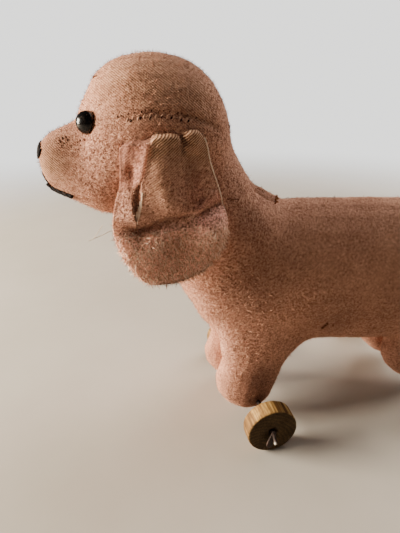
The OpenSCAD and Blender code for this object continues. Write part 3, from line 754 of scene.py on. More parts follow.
def ear_relief(along, down, past, from_front, from_rear):
    """How far out of the toy's middle the ear's face lies, in millimetres."""
    crease = down - through(CREASE, along)
    upper = 1 - ramp(22, 32, down)
    panel = ramp(-0.25, 0.25, past)
    tucked = 1 - panel
    # the bow of the whole flap, and the step down from the panel to the tucked part
    puffed = PUFFED_OUT - PUFFED_BOW * (along / PUFFED_HALF) ** 2
    out = upper * through(SECTION, along) + (1 - upper) * puffed
    out -= PANEL_STEP * tucked * (1 - ramp(18, 28, down))
    # a ridge down the panel, and the notch between the two gathered lobes above it
    crest = -4.6 + 0.35 * np.maximum(0, down - 15)
    ridge = hump(crest, np.where(along < crest, 3.2, 6.3), along)
    out += panel * 1.2 * ridge * ramp(4, 12, down) * (1 - ramp(21, 28, down))
    out += 1.3 * hump(7, 2.4, along) * (1 - ramp(4, 9, down))
    out -= 2.2 * hump(3.5, 0.9, along) * (1 - ramp(3, 8, down))
    # the hollow, the swell at the fold, the front edge and the cheek of the tucked part
    out -= tucked * 1.6 * hump(-12.9, 1.5, along) * hump(12.6, 3.0, down)
    out += tucked * 1.6 * hump(-0.4, 2.4, past) * (1 - ramp(15, 18, down))
    out += 0.3 * hump(2, 1.6, from_front) * hump(10, 7, down)
    out += 1.3 * hump(-12.8, 3.4, along) * hump(23.5, 6, down) * tucked
    # a slanting pleat, and the crease with the puffed half below it
    out += 1.7 * hump(through(PLEAT, down), 1.9, along) * hump(25, 4.5, down)
    rise = 4.2 - 1.8 * ramp(4, 12, along)
    out -= through(CREASE_DEPTH, along) * ramp(-2.6, 0, crease) * (1 - ramp(0, rise, crease))
    out += 1.5 * ramp(1, 7, crease) * (1 - 0.9 * ramp(11, 22, crease))
    out += 2.2 * hump(13, 4.5, along) * hump(34, 6, down)
    out -= 1.9 * hump(0.5, 5, along) * hump(38, 7, down)
    # both edges turn in
    return out - 0.7 * hump(0, 1.6, from_rear) - 0.8 * hump(0, 1.8, from_front)


def ear_face(columns, rows):
    """Places of the left ear's face for shares of columns and rows, in millimetres."""
    front, rear = through(FRONT_EDGE, rows), through(REAR_EDGE, rows)
    fold = (through(FOLD, 2 + 45 * rows) - front) / (rear - front)
    before = 1 - (1 - np.clip(columns / FOLD_COLUMN, 0, 1)) ** 1.5
    behind = np.clip((columns - FOLD_COLUMN) / (1 - FOLD_COLUMN), 0, 1) ** 1.4
    across = np.where(columns < FOLD_COLUMN, fold * before, fold + (1 - fold) * behind)
    along = front + (rear - front) * across
    top, hem = through(TOP_EDGE, across), through(HEM, across)
    down = top + (hem - top) * rows
    past = along - through(FOLD, down)
    out = ear_relief(along, down, past, along - front, rear - along)
    # the top is turned in towards the seam
    turned_in = np.sqrt(1 - (1 - np.clip((down - top) / TURNED_IN, 0, 1)) ** 2)
    sewn = SEWN_OUT - SEWN_BOW * along ** 2
    out = sewn + (out - sewn) * turned_in
    # the lips of the slit part, and the fold is shut above it
    along_slit = np.clip((down - SLIT_TOP) / (SLIT_END - SLIT_TOP), 0, 1)
    gape = SLIT_HALF * np.sin(np.pi * along_slit) ** 0.8
    lip = ramp(0.1, 0.22, np.abs(past))
    out -= SLIT_DEPTH * (1 - lip) * np.clip(gape / 0.5, 0, 1)
    shift = gape * np.sign(past) * lip * np.exp(-np.abs(past) / 2.6)
    shut = (1 - ramp(13, 16.5, down)) * ramp(1, 2.5, down - top)
    shift += shut * (0.5 * hump(-0.3, 0.3, past) - 0.55 * hump(0.3, 0.3, past))
    return along + shift, down, out


# %% [markdown]
# The outer layer and the lining are cut alike and sewn together round the edge. Each starts as a
# grid whose columns crowd towards the fold, so it stays crisp, and a solidify modifier gives the
# cloth its thickness. The far ear is the near one mirrored, with its faces turned right again.

# %% Shape a layer of an ear
CLOTH_T = 0.9
EAR_COLUMNS, EAR_ROWS = 112, 150
LINING_CAP, LINING_GAP = 26.6, 0.15


def to_frame(along, down, out, side):
    """Millimetres on an ear as places in the shared frame."""
    return np.stack([ear_hinge.x / MM + along, side * out, ear_high.z / MM - down], axis=1) * MM


def ear_layer(name, columns, rows, side, lining):
    """One layer of an ear as a thick sheet."""
    shape = bmesh.new()
    bmesh.ops.create_grid(shape, x_segments=columns, y_segments=rows, size=0.5)
    flat = np.array([v.co for v in shape.verts])
    shares = 0.5 - flat[:, 1]
    shares = shares * (0.55 + 0.45 * shares)
    along, down, out = ear_face(flat[:, 0] + 0.5, shares)
    if lining:
        out = np.minimum(out, LINING_CAP) - CLOTH_T - LINING_GAP
    for vertex, co in zip(shape.verts, to_frame(along, down, out, side)):
        vertex.co = co
    bmesh.ops.recalc_face_normals(shape, faces=shape.faces)
    if sum(face.normal.y for face in shape.faces) * side < 0:
        bmesh.ops.reverse_faces(shape, faces=shape.faces)
    sheet = linked(name, shape)
    if lining:
        move_to(sheet.data, smoothed(sheet.data, places_of(sheet.data), 12, inward=0))
    return with_modifier(sheet, "SOLIDIFY", thickness=CLOTH_T * MM, offset=-1)


# %% [markdown]
# A roll of cloth hides the seam round the rim. It is a curve with a round bevel along the edge of
# the ear. Every thread on the toy is made in the same way.

# %% Rims and threads


def rim_path(side, sunk, inset=0.0, first=0.0, last=1.0, count=110):
    """Places round the edge of an ear: down in front, along the hem and up again behind."""
    rows = np.linspace(0, 1 - inset, count)
    columns = np.linspace(inset, 1 - inset, count)
    low, high = np.full(count, inset), np.full(count, 1 - inset)
    columns = np.concatenate([low, columns, high])
    along, down, out = ear_face(columns, np.concatenate([rows, high, rows[::-1]]))
    places = to_frame(along, down, out - sunk, side)
    return [Vector(co) for co in places[int(first * len(places)):int(last * len(places))]]


def tube(name, paths, radius, sides=3, tapered=0):
    """Round threads along paths, as one mesh; the first points of each can taper."""
    curve = bpy.data.curves.new(name, "CURVE")
    curve.dimensions = "3D"
    curve.bevel_depth = radius
    curve.bevel_resolution = sides
    curve.use_fill_caps = True
    for path in paths:
        spline = curve.splines.new("POLY")
        spline.points.add(len(path) - 1)
        for k, (point, co) in enumerate(zip(spline.points, path)):
            point.co = (*co, 1)
            point.radius = min(1, (k + 1) / (tapered + 1))
    holder = new_object(name + "_curve", curve)
    mesh = final_mesh(holder)
    bpy.data.objects.remove(holder)
    return shade_smooth(new_object(name, mesh))


# %% [markdown]
# Four coats are painted on an ear's points. The gathered top is worn. Painted shade darkens the
# crease, the hollow, the valley of the panel, the upper half, the fold, the edges and the inside
# of the slit. The tucked part has kept its rosy colour, and the lower half is made paler with
# painted light and a dusty tint.

# %% Make the ears
RIM_R = 0.5 * MM


def age_ear(cloth):
    """Paints the rubbed top, painted shade on folds and edges, the rosy tuck and painted light
    below.
    """
    places = places_of(cloth.data)
    down = (ear_high.z - places[:, 2]) / MM
    along = (places[:, 0] - ear_hinge.x) / MM
    past = along - through(FOLD, down)
    before_fold, off_fold = 1 - ramp(-1, 0.5, past), 1 - 0.8 * hump(0, 0.9, past)
    crease = down - through(CREASE, along)
    from_front = along - through(FRONT_EDGE, np.clip((down - 3) / 44, 0, 1))
    from_rear = through(REAR_EDGE, np.clip(down / 48, 0, 1)) - along
    from_hem = through(HEM, np.clip((along + 14.4) / 27.8, 0, 1)) - down
    in_slit = (np.abs(past) < 0.16) & (down > SLIT_TOP) & (down < SLIT_END)
    coats = {
        "worn": [
            hump(1, 11, down) * (1 - before_fold) + 0.3 * hump(9, 7, down) * before_fold,
            0.5 * hump(17, 8, down) * hump(-5, 4, along)],
        # painted shade: the crease, the hollow, the valley, the rear lobe, the upper half, the top
        # and wall of the fold, the slit and the edges
        "soil_and_shade": [
            0.45 * hump(-0.8, 2.2, crease) * ramp(-19, -14, along) * (1 - ramp(-2, 5, along)),
            0.5 * hump(-0.3, 0.8, crease) * ramp(-3, 3, along) * (1 - ramp(17, 19, along)),
            0.3 * hump(-12.8, 1.2, along) * hump(12.3, 3, down),
            0.42 * hump(6.5, 4.5, along) * hump(12, 8, down),
            0.2 * hump(13, 4, along) * hump(8, 8, down),
            0.2 * (1 - ramp(22, 31, down)),
            0.5 * (1 - ramp(3.6, 5.6, down)) * (1 - ramp(-0.8, 0.2, past)),
            0.45 * hump(-0.2, 0.7, past) * ramp(2, 4, down) * (1 - ramp(15, 18, down)),
            0.55 * in_slit * (1 - ramp(18, 23, down)),
            0.5 * hump(0, 1.2, from_front) * ramp(1, 3, down) * (1 - ramp(15, 19, down)),
            0.7 * hump(0, 0.8, from_hem) * ramp(-9, -2, along),
            0.6 * hump(0, 0.7, from_rear) * ramp(34, 40, down)],
        "rosy": [
            0.6 * off_fold * (1 - ramp(-1, 1, past)) * (1 - ramp(14, 20, down)),
            0.6 * off_fold * hump(-3.2, 2.2, crease) * ramp(4, 9, along),
            0.6 * off_fold * hump(2.6, 1.6, crease) * ramp(6, 10, along),
            0.5 * off_fold * hump(8, 4, along) * hump(20, 7, down)],
        # painted light and a dust tint make the puffed lower half paler
        "dusty": [
            0.9 * ramp(0, 3, crease) * (1 - 0.5 * hump(0, 6, along) * hump(38, 6, down)),
            hump(1.5, 2.5, crease) * ramp(2, 8, along)]}
    for name, coat in coats.items():
        paint(cloth, name, np.clip(np.maximum.reduce(coat), 0, 1))
    shade_smooth(cloth)


ears, rims = {}, {}
for side_name, side in SIDES.items():
    outer = ear_layer(f"{side_name}_ear_cloth", EAR_COLUMNS, EAR_ROWS, side, False)
    lining = ear_layer(f"{side_name}_ear_back", EAR_COLUMNS // 2, EAR_ROWS // 2, side, True)
    rim = tube(f"{side_name}_ear_rim", [rim_path(side, CLOTH_T, 0.01)], RIM_R, 4)
    for cloth in (outer, lining, rim):
        age_ear(cloth)
        finish_piece(cloth, ear_felt, f"{side_name}_ear")
    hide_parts(f"{side_name}_ear_outer")
    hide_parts(f"{side_name}_ear_lining")
    ears[side_name], rims[side_name] = outer, rim
print("ears of", len(outer.data.polygons), "faces")

# %% [markdown]
# Two fine details catch the light on each ear. The turned edge is whipped with pale thread down
# its back. The lips of the slit are frayed, and their bare white threads show.

# %% Trim the ears
EDGE_THREAD_R, FRAY_R = 0.23 * MM, 0.2 * MM
FRAY_POINTS = 22
FRAYED = [(17, 27.7, 0.94, 0), (20, 27.7, 0.7, 0.2), (21.8, 27.6, 0.42, 0.5),
    (22.5, 27.7, -0.92, 0.1), (23.5, 27.6, -0.6, 0.4), (23.5, 27.5, 0.1, 0.6),
    (24, 27.5, -0.25, 0.5)]
pale_thread = make_thread("pale_thread", screen_colour(232, 208, 186), screen_colour(204, 166, 138))
for side_name, side in SIDES.items():
    edge = rim_path(side, 0.05, 0, 0.77, 0.995)
    frays = []
    for first, last, past, sunk in FRAYED:
        rows = (np.linspace(first, last, FRAY_POINTS) - 1.5) / 48.8
        lip = np.full(FRAY_POINTS, FOLD_COLUMN + 0.012 * np.sign(past))
        along, down, out = ear_face(lip, rows)
        centre = through(FOLD, down)
        along = centre + (along - centre) * abs(past)
        frays.append([Vector(co) for co in to_frame(along, down, out - sunk, side)])
    trim = tube(f"{side_name}_ear_edge_thread", [edge], EDGE_THREAD_R, tapered=24)
    fray = tube(f"{side_name}_ear_slit_thread", frays, FRAY_R)
    for piece in (trim, fray):
        finish_piece(piece, pale_thread, f"{side_name}_ear")

# %% [markdown]
# The nap is real fibres too, so it blurs the outline as it does on the toy. Geometry nodes plant
# them: points are scattered over the cloth, fewer where it is worn, and each gets a thin cone that
# leans out of the cloth in its own direction. The seed makes every run alike.

# %% Plant fibres
FIBRE_L, FIBRE_SUNK, FIBRE_BEND = 1.4 * MM, 0.12 * MM, 0.4 * MM
FINE_R, COARSE_R = 0.075 * MM, 0.09 * MM
FAR = 200 * MM


def random_number(group, least, most, seed):
    """A number of its own for each fibre."""
    inputs = {2: least, 3: most, "Seed": seed}
    return add_node(group, "FunctionNodeRandomValue", inputs, data_type="FLOAT").outputs[1]


def nap_planting(name, seed, per_mm2, lean, droop, longest=1.2, palest=0.0, radius=FINE_R,
        low=(-FAR, -FAR), high=(FAR, FAR), thick_where="worn"):
    """A node group that plants fibres within a box of x and z."""
    group = bpy.data.node_groups.new(name, "GeometryNodeTree")
    for title, way in (("Cloth", "INPUT"), ("Nap", "OUTPUT")):
        group.interface.new_socket(title, in_out=way, socket_type="NodeSocketGeometry")
    cloth = add_node(group, "NodeGroupInput").outputs[0]
    place = add_node(group, "GeometryNodeInputPosition").outputs[0]
    split = add_node(group, "SeparateXYZ", {0: place})
    # how dense: only within the box, and less where the cloth is worn or isn't shaggy
    share = add_node(group, "GeometryNodeInputNamedAttribute", {"Name": thick_where},
        data_type="FLOAT").outputs[0]
    if thick_where == "worn":
        share = reckon(group, "MULTIPLY_ADD", share, -0.9, 1)
    density = reckon(group, "MULTIPLY", share, per_mm2 / MM ** 2)
    for socket, least, most in zip((split.outputs[0], split.outputs[2]), low, high):
        density = reckon(group, "MULTIPLY", density, reckon(group, "GREATER_THAN", socket, least))
        density = reckon(group, "MULTIPLY", density, reckon(group, "LESS_THAN", socket, most))
    scatter = {"Mesh": cloth, "Density": density, "Seed": seed}
    roots = add_node(group, "GeometryNodeDistributePointsOnFaces", scatter)
    # which way: out of the cloth, a little at random and a little down
    spread = {0: (-lean, -lean, -lean), 1: (lean, lean, lean), "Seed": seed}
    way = add_node(group, "FunctionNodeRandomValue", spread, data_type="FLOAT_VECTOR").outputs[0]
    for push in (roots.outputs["Normal"], (0, 0, -droop)):
        way = add_node(group, "VectorMath", {0: push, 1: way}, operation="ADD").outputs[0]
    turned = add_node(group, "FunctionNodeAlignRotationToVector", {"Vector": way}, axis="Z")
    # one fibre: a cone with a bend
    fibre = {"Vertices": 3, "Side Segments": 2 if per_mm2 < 2 else 1, "Radius Top": 0,
        "Radius Bottom": radius, "Depth": FIBRE_L}
    cone = add_node(group, "GeometryNodeMeshCone", fibre).outputs["Mesh"]
    curve = reckon(group, "POWER", reckon(group, "DIVIDE", split.outputs[2], FIBRE_L), 2)
    offset = {0: reckon(group, "MULTIPLY", curve, FIBRE_BEND), 2: -FIBRE_SUNK}
    bent = {"Geometry": cone, "Offset": add_node(group, "CombineXYZ", offset).outputs[0]}
    # plant, tone and make real
    planted = add_node(group, "GeometryNodeInstanceOnPoints", {"Points": roots.outputs["Points"],
        "Instance": add_node(group, "GeometryNodeSetPosition", bent).outputs[0],
        "Rotation": turned.outputs[0],
        "Scale": random_number(group, 0.45 * longest, longest, seed + 1)}).outputs[0]
    tone = random_number(group, palest, 1, seed + 2)
    inputs = {"Geometry": planted, "Name": "tone", "Value": tone}
    toned = add_node(group, "GeometryNodeStoreNamedAttribute", inputs, data_type="FLOAT",
        domain="INSTANCE").outputs[0]
    real = add_node(group, "GeometryNodeRealizeInstances", {"Geometry": toned})
    add_node(group, "NodeGroupOutput", {"Nap": real.outputs[0]})
    return group


# %% [markdown]
# Each fibre has a tone of its own, which its material turns into a colour. The front of the toy
# has the thickest nap, a shaggy coat of longer fibres lies over it, and the ears get coarse ones,
# longest along the hem.

# %% Grow the nap


def make_nap(name, middle, light):
    """Fibres whose colour goes from brown to pale by their tone."""
    material, tree, surface = new_material(name, 0.9, 0.2)[:3]
    colour = add_ramp(tree, read(tree, "tone"), [(0.1, FELT_DEEP), (0.5, middle), (1.0, light)])
    # the fibres are darkened by the cloth's soil and painted shade
    colour = mix_colours(tree, read(tree, "soil_and_shade"), colour, SOIL_AND_SHADE_COLOUR)
    tree.links.new(colour, surface.inputs["Base Color"])
    return material


def grow_nap(name, cloth, body, fibres, **planting):
    """Plants a nap on a cloth and makes it a piece."""
    nap = new_object(name, cloth.data.copy())
    with_modifier(nap, "NODES", node_group=nap_planting(name, **planting))
    print(name, len(nap.data.polygons), "faces")
    return finish_piece(nap, fibres, body)


nap_fibres = make_nap("nap_fibres", FELT_MIDDLE, FELT_LIGHT)
hem_fibres = make_nap("hem_fibres", screen_colour(214, 166, 140), screen_colour(255, 230, 204))
FRONT_FROM, REAR_FROM = -48 * MM, 25 * MM
SKIN_NAPS = {
    "front": {"per_mm2": 2.0, "longest": 1.2, "low": (-FAR, 0), "high": (FRONT_FROM, FAR)},
    "middle": {"per_mm2": 0.7, "longest": 1.1, "low": (FRONT_FROM, 0), "high": (REAR_FROM, FAR)},
    "rear": {"per_mm2": 0.45, "longest": 1.1, "low": (REAR_FROM, 0)},
    "long": {"per_mm2": 0.9, "longest": 1.7, "low": (-FAR, 0), "palest": 0.5,
        "thick_where": "shaggy"}}
for k, (part, planting) in enumerate(SKIN_NAPS.items()):
    grow_nap(f"nap_{part}", skin, "dog", nap_fibres, seed=10 + k, lean=1.5, droop=0.2, **planting)
HEM_FROM = ear_high.z - 32 * MM
for k, (side_name, cloth) in enumerate(ears.items()):
    ear = f"{side_name}_ear"
    grow_nap(f"{ear}_nap", cloth, ear, nap_fibres, seed=20 + k, per_mm2=1.4, lean=1.4, droop=0.6,
        palest=0.4, radius=COARSE_R)
    grow_nap(f"{ear}_rim_nap", rims[side_name], ear, nap_fibres, seed=30 + k, per_mm2=2.4,
        lean=1.4, droop=0.4)
    grow_nap(f"{ear}_hem_nap", cloth, ear, hem_fibres, seed=40 + k, per_mm2=3.0, lean=1.1,
        droop=1.0, longest=2.0, palest=0.3, radius=COARSE_R, high=(FAR, HEM_FROM))

# %% [markdown]
# The eyes are moulded shoe buttons. The model's own shape is right, so a clean copy of it is
# enough. Its loose triangles are merged, which lets it shade smoothly.

# %% Finish the eyes


def clean_copy(name, node_name):
    """A merged copy of a CAD node, ready for smooth shading."""
    shape = bmesh.new()
    shape.from_mesh(frame["nodes"][node_name].data)
    bmesh.ops.remove_doubles(shape, verts=shape.verts, dist=0.003 * MM)
    return shade_smooth(linked(name, shape))


for side_name in SIDES:
    button = clean_copy(f"{side_name}_eye_button", f"{side_name}_eye")
    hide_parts(f"{side_name}_eye")
    finish_piece(button, button_black, "dog")

# %% [markdown]
# The nose is worked in satin stitch: black threads side by side, each from the top of the nose
# to its lower edge. Each thread dips into the cloth at both ends.

# %% Stitch the nose
NOSE_THREADS = 17
NOSE_THREAD_R = 0.42 * MM
NOSE_ENDS, NOSE_RISE = 0.15 * MM, 0.5 * NOSE_THREAD_R
nose_low, nose_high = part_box("nose_embroidery")
nose_middle = (nose_low + nose_high) / 2
nose_half_w = (nose_high.y - nose_low.y) / 2
nose_half_h = (nose_high.z - nose_low.z) / 2
paths = []
for k in range(NOSE_THREADS):
    share = 2 * (k + 0.5) / NOSE_THREADS - 1
    half = nose_half_h * math.sqrt(1 - (0.93 * share) ** 2) * (1 + 0.08 * math.sin(5.1 * k))
    heights = np.linspace(half, -half, 7) + 0.25 * MM * math.sin(3.7 * k)
    row = []
    for up, above in zip(heights, [NOSE_ENDS] + [NOSE_RISE] * 5 + [NOSE_ENDS]):
        start = Vector((nose_low.x - 5 * MM, share * nose_half_w, nose_middle.z + up))
        hit, normal = skin_tree.ray_cast(start, Vector((1, 0, 0)))[:2]
        row.append(hit + normal * above)
    paths.append(row)
nose = tube("nose_stitches", paths, NOSE_THREAD_R)
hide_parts("nose_embroidery")
finish_piece(nose, black_thread, "dog")
print("nose threads", len(paths))

# %% [markdown]
# The mouth is a cord of three plies on each cheek, laid on the cloth, so the twist shows. A
# thinner thread joins both cords in front, and one more runs up from it to the nose.

# %% Stitch the mouth
MOUTH_CORNER = (44.5, 176)
MOUTH_PIXELS = [(47.5, 183.5), (52, 187), (58, 189.5), (66, 193), (73, 195.5)]
PLIES, PLY_R, PLY_OFF, PLY_TURN, PLY_RISE = 3, 0.45 * MM, 0.34 * MM, 8 * MM, 0.5 * MM
FRONT_THREAD_R, FRONT_RISE, LIP_THREAD_R = 0.34 * MM, 0.1 * MM, 0.25 * MM


def twisted(path):
    """Plies that wind round each other along a path."""
    plies = [[] for ply in range(PLIES)]
    run = 0.0
    for i, place in enumerate(path):
        along = (path[min(i + 1, len(path) - 1)] - path[max(i - 1, 0)]).normalized()
        normal = on_skin(place)[1]
        side = along.cross(normal).normalized()
        up = side.cross(along)
        for k, ply in enumerate(plies):
            angle = 2 * math.pi * (run / PLY_TURN + k / PLIES)
            off = PLY_OFF * (math.cos(angle) * up + math.sin(angle) * side)
            ply.append(place + normal * PLY_RISE + off)
        if i + 1 < len(path):
            run += (path[i + 1] - place).length
    return plies


mouth_side = pixel_path(MOUTH_PIXELS, 0.35 * MM)
start = seen_at(*MOUTH_CORNER)
mouth_front = Vector((start.x - 1.5 * MM, 0, start.z + 0.5 * MM))
front_corners = mirrored([mouth_side[0], start]) + [mouth_front, start, mouth_side[0]]
front_line = even_path(front_corners, 0.35 * MM)
middle = front_line[len(front_line) // 2]
lip_top = on_skin(Vector((nose_low.x, 0, nose_low.z)))[0]
lip_line = even_path([lip_top, (lip_top + middle) / 2, middle], 0.5 * MM)
front_line = [place + on_skin(place)[1] * FRONT_RISE for place in front_line]
mouth = tube("mouth_cord", twisted(mouth_side) + twisted(mirrored(mouth_side)), PLY_R)
front = tube("mouth_front_thread", [front_line], FRONT_THREAD_R)
lip = tube("lip_thread", [lip_line], LIP_THREAD_R)
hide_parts("mouth_embroidery")
for piece in (mouth, front, lip):
    finish_piece(piece, black_thread, "dog")
print("mouth", length_of(mouth_side), "mm on each side")

# %% [markdown]
# The gusset is closed with whip stitches of dark thread, which bite into the cloth on both sides
# of the seam. From outside they look like two rows of short slanted pits. A short bent thread
# stands for each, and a paler thread runs between them. Each row says where it starts and ends
# along the seam, how far apart, below the seam and long its stitches are, and how they wander.

# %% Sew the seams


def stitch_row(path, first, last, spacing, offset, slant, length, wander):
    """Short slanted stitches beside a path, as paths that dip into the cloth at their ends."""
    made = []
    run = 0.0
    following = first
    for i in range(1, len(path) - 1):
        run += (path[i] - path[i - 1]).length
        if run < following or run > last:
            continue
        following += spacing * (1 + wander * math.sin(7.3 * len(made)))
        normal = on_skin(path[i])[1]
        along = (path[i + 1] - path[i - 1]).normalized()
        across = normal.cross(along).normalized()
        way = math.cos(slant) * along + math.sin(slant) * across
        middle = path[i] + across * offset * (1 + wander * math.sin(4.1 * len(made)))
        ends = [middle - way * length / 2, middle, middle + way * length / 2]
        lifts = (-0.25 * MM, 0.06 * MM, -0.25 * MM)
        made.append([on_skin(place, lift)[0] for place, lift in zip(ends, lifts)])
    return made


def seam_threads(name, radius, material, *rows):
    """The same rows of stitches on both gusset seams, as one piece."""
    made = []
    for path, down, lean in ((gusset, -1, 62), (mirrored(gusset), 1, 118)):
        for first, last, spacing, below, length, wander in rows:
            made += stitch_row(path, first * MM, last * MM, spacing * MM, down * below * MM,
                math.radians(lean), length * MM, wander)
    finish_piece(tube(name, made, radius, 2), material, "dog")
    print(name, len(made))


tan_thread = make_thread("tan_thread", screen_colour(196, 146, 118), screen_colour(226, 182, 152))
seam_threads("seam_stitches", 0.3 * MM, brown_thread, (9.6, 29, 3.1, 1.25, 1.1, 0.12))
seam_threads("seam_pits", 0.19 * MM, brown_thread, (5.2, 29, 1.85, -0.6, 0.7, 0.15),
    (29, 62, 3.1, 0.9, 0.8, 0.3), (30.4, 62, 3.1, -0.5, 0.6, 0.3))
seam_threads("seam_whipping", 0.27 * MM, tan_thread, (8.4, 30, 1.85, 0.9, 1.7, 0.1))

# %% [markdown]
# A few accidents make the toy this one and no other. The seam at the withers ends in a brown
# knot, with some fluff along it. Old stitches have left pits on the muzzle, and the belly has a
# small pinch; dark thread laid in these pits and in the pinch is painted shade. Two stray hairs
# hang on the near ear. Each is a bent thread or a tangle, laid where the photograph shows it. A
# mark has two pixels and its radius in millimetres, a tangle has a pixel, its reach in
# millimetres and a number of steps.

# %% Add the knot, the pits and the stray fibres
# the belly and muzzle marks are dark thread as painted shade in the pinch and the pits
MARKS = [((321.8, 328.4), (327.8, 323.2), 0.42), ((332.6, 325.6), (333.2, 324.4), 0.25),
    ((59, 140), (60.5, 142.5), 0.16), ((62, 137), (63, 139.5), 0.16),
    ((65, 136.5), (66, 138), 0.15), ((67, 139), (67.6, 141), 0.15), ((60.5, 145), (62, 146), 0.14),
    ((57, 143), (58, 144), 0.14), ((63, 142.5), (64, 144), 0.13), ((77, 141), (77.6, 142.6), 0.15),
    ((80, 139.5), (80.6, 141), 0.14), ((84, 139), (84.6, 141), 0.14),
    ((80, 145), (80.6, 146), 0.12), ((227, 199), (239, 199.4), 0.14),
    ((93, 78), (96.5, 76.2), 0.25), ((228.5, 125), (230, 128), 0.2)]
TANGLES = [((275.6, 197.2), 1.9, 110), ((275, 200.5), 1.7, 90), ((274.6, 203.5), 1.1, 50)]
FLUFF = [((271, 197.5), 1.0, 40), ((267.5, 195.3), 1.0, 40), ((263.5, 193), 0.9, 40),
    ((260, 190.8), 0.9, 40), ((256.5, 188.5), 0.8, 30)]
STRAY = [[(116, 229), (110, 231), (104, 234.4), (97, 237.4), (88.6, 241)],
    [(94, 238.6), (97.5, 233), (102.5, 225.2)]]
KNOT_R, HAIR_R = 0.15 * MM, 0.09 * MM
EAR_PLANE = -26 * MM
tangle_luck = np.random.default_rng(5)


def laid_thread(first, last, radius):
    """A thread between two pixels that dips into the cloth at its ends."""
    ends = seen_at(*first), seen_at(*last)
    lifts = (-0.1, 0.6, 1, 0.6, -0.1)
    return [on_skin(ends[0].lerp(ends[1], k / 4), radius * lift)[0] for k, lift in enumerate(lifts)]


def tangle(pixel, reach, count):
    """A thread that wanders round a place on the skin."""
    centre = on_skin(seen_at(*pixel), 0.3 * reach * MM)[0]
    walk = np.cumsum(tangle_luck.normal(0, 1, (count, 3)), axis=0)
    walk -= np.linspace(walk[0], walk[-1], count)
    walk *= reach / max(1.0, np.abs(walk).max())
    return [centre + Vector(step) * MM for step in walk]


def beside_ear(px, py):
    """The place at a pixel in the plane of the near ear."""
    start, way = sight_line(px, py)
    return start + way * ((EAR_PLANE - start.y) / way.y)


# the knot's thread is made paler with painted light against the shade inside its tangle, and the
# dark thread also serves as painted shade in the pits and the pinch
knot_thread = make_thread("knot_thread", screen_colour(142, 84, 50), screen_colour(196, 138, 88))
dark_thread_and_pit_shade = make_thread("dark_thread_and_pit_shade", screen_colour(70, 38, 24), screen_colour(120, 74, 48))
knot = tube("withers_knot", [tangle(*wound) for wound in TANGLES], KNOT_R, 2)
fluff = tube("withers_fluff", [tangle(*bit) for bit in FLUFF], HAIR_R, 1)
shape = bmesh.new()
for first, last, radius in MARKS:
    mark = tube("mark", [laid_thread(first, last, radius * MM)], radius * MM, 2)
    shape.from_mesh(mark.data)
    bpy.data.objects.remove(mark)
pits = shade_smooth(linked("pits", shape))
hairs = tube("stray_hairs", [[beside_ear(*pixel) for pixel in hair] for hair in STRAY], HAIR_R, 2)
for piece, material in ((knot, knot_thread), (fluff, tan_thread), (pits, dark_thread_and_pit_shade)):
    finish_piece(piece, material, "dog")
finish_piece(hairs, pale_thread, "left_ear")
print("marks", len(MARKS))

# %% [markdown]
# A wheel is a profile spun round the axle line. Its edges are rounded by wear and a little
# uneven, and the hole has worn wide on its outer side. A slow noise takes fractions of a
# millimetre off the rim here and there, never adds, so the wheel still stands on the floor.

# %% Turn the wheels
SPIN_STEPS = 120
HUB_R = 1.12 * MM
HOLE_R, HOLE_DEPTH, HOLE_LIP = 2.1 * MM, 1.4 * MM, 0.25 * MM
EDGE_R = 0.8 * MM
CHIP_DEPTH, CHIP_SIZE = 0.22 * MM, 2.4 * MM


def wheel_profile(radius, thickness):
    """Points of radius and depth from the inner face to the outer one."""
    turns = [math.radians(a) for a in (0, 30, 60, 90)]
    corner = radius - EDGE_R
    inner = [(corner + EDGE_R * math.sin(a), EDGE_R * (1 - math.cos(a))) for a in turns]
    outer = [(corner + EDGE_R * math.cos(a), thickness - EDGE_R + EDGE_R * math.sin(a))
        for a in turns]
    rim = [(radius, thickness * k / 6) for k in (2, 3, 4)]
    face = [(radius * k / 6, thickness) for k in (5, 4, 3)]
    back = [(radius * k / 6, 0) for k in (2, 3, 4, 5)]
    hole = [(HOLE_R * 1.1, thickness), (HOLE_R, thickness - HOLE_LIP),
        (HUB_R * 1.2, thickness - HOLE_DEPTH)]
    return [(HUB_R, 0)] + back + inner + rim + outer + face + hole + [(HUB_R, thickness / 2)]


def turned_wheel(name, node_name, side):
    """A worn wooden wheel in the place of a CAD wheel."""
    low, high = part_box(node_name)
    centre = (low + high) / 2
    radius, thickness = (high.x - low.x) / 2, high.y - low.y
    shape = bmesh.new()
    outline = [shape.verts.new((r, side * (depth - thickness / 2), 0))
        for r, depth in wheel_profile(radius, thickness)]
    for a, b in zip(outline, outline[1:] + outline[:1]):
        shape.edges.new((a, b))
    bmesh.ops.spin(shape, geom=shape.verts[:] + shape.edges[:], axis=(0, 1, 0), cent=(0, 0, 0),
        steps=SPIN_STEPS, angle=2 * math.pi, use_merge=True)
    bmesh.ops.recalc_face_normals(shape, faces=shape.faces)
    bmesh.ops.translate(shape, verts=shape.verts, vec=centre)
    wheel = linked(name, shape)
    places = places_of(wheel.data)
    local = places - np.array(centre)
    across = np.hypot(local[:, 0], local[:, 2])
    edge = ramp(0.45, 1, np.abs(local[:, 1]) / (thickness / 2)) * ramp(0.8, 1, across / radius)
    wear = np.maximum(0, lumps(places, CHIP_SIZE) + 0.15)
    local[:, [0, 2]] *= (1 - CHIP_DEPTH / radius * wear * (0.25 + 0.75 * edge))[:, None]
    move_to(wheel.data, local + np.array(centre))
    flat = (np.abs(places_of(wheel.data, "normal")[:, 1]) > 0.75) & (across < 0.97 * radius)
    hole = across < HOLE_R * 1.05
    # the faces and the hole get end grain with painted shade
    paint(wheel, "end_grain_and_shade", np.where(flat | hole, 1.0, 0.12 * edge))
    shade_smooth(wheel)
    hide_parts(node_name)
    return finish_piece(wheel, make_wood(f"{name}_wood", centre), node_name)


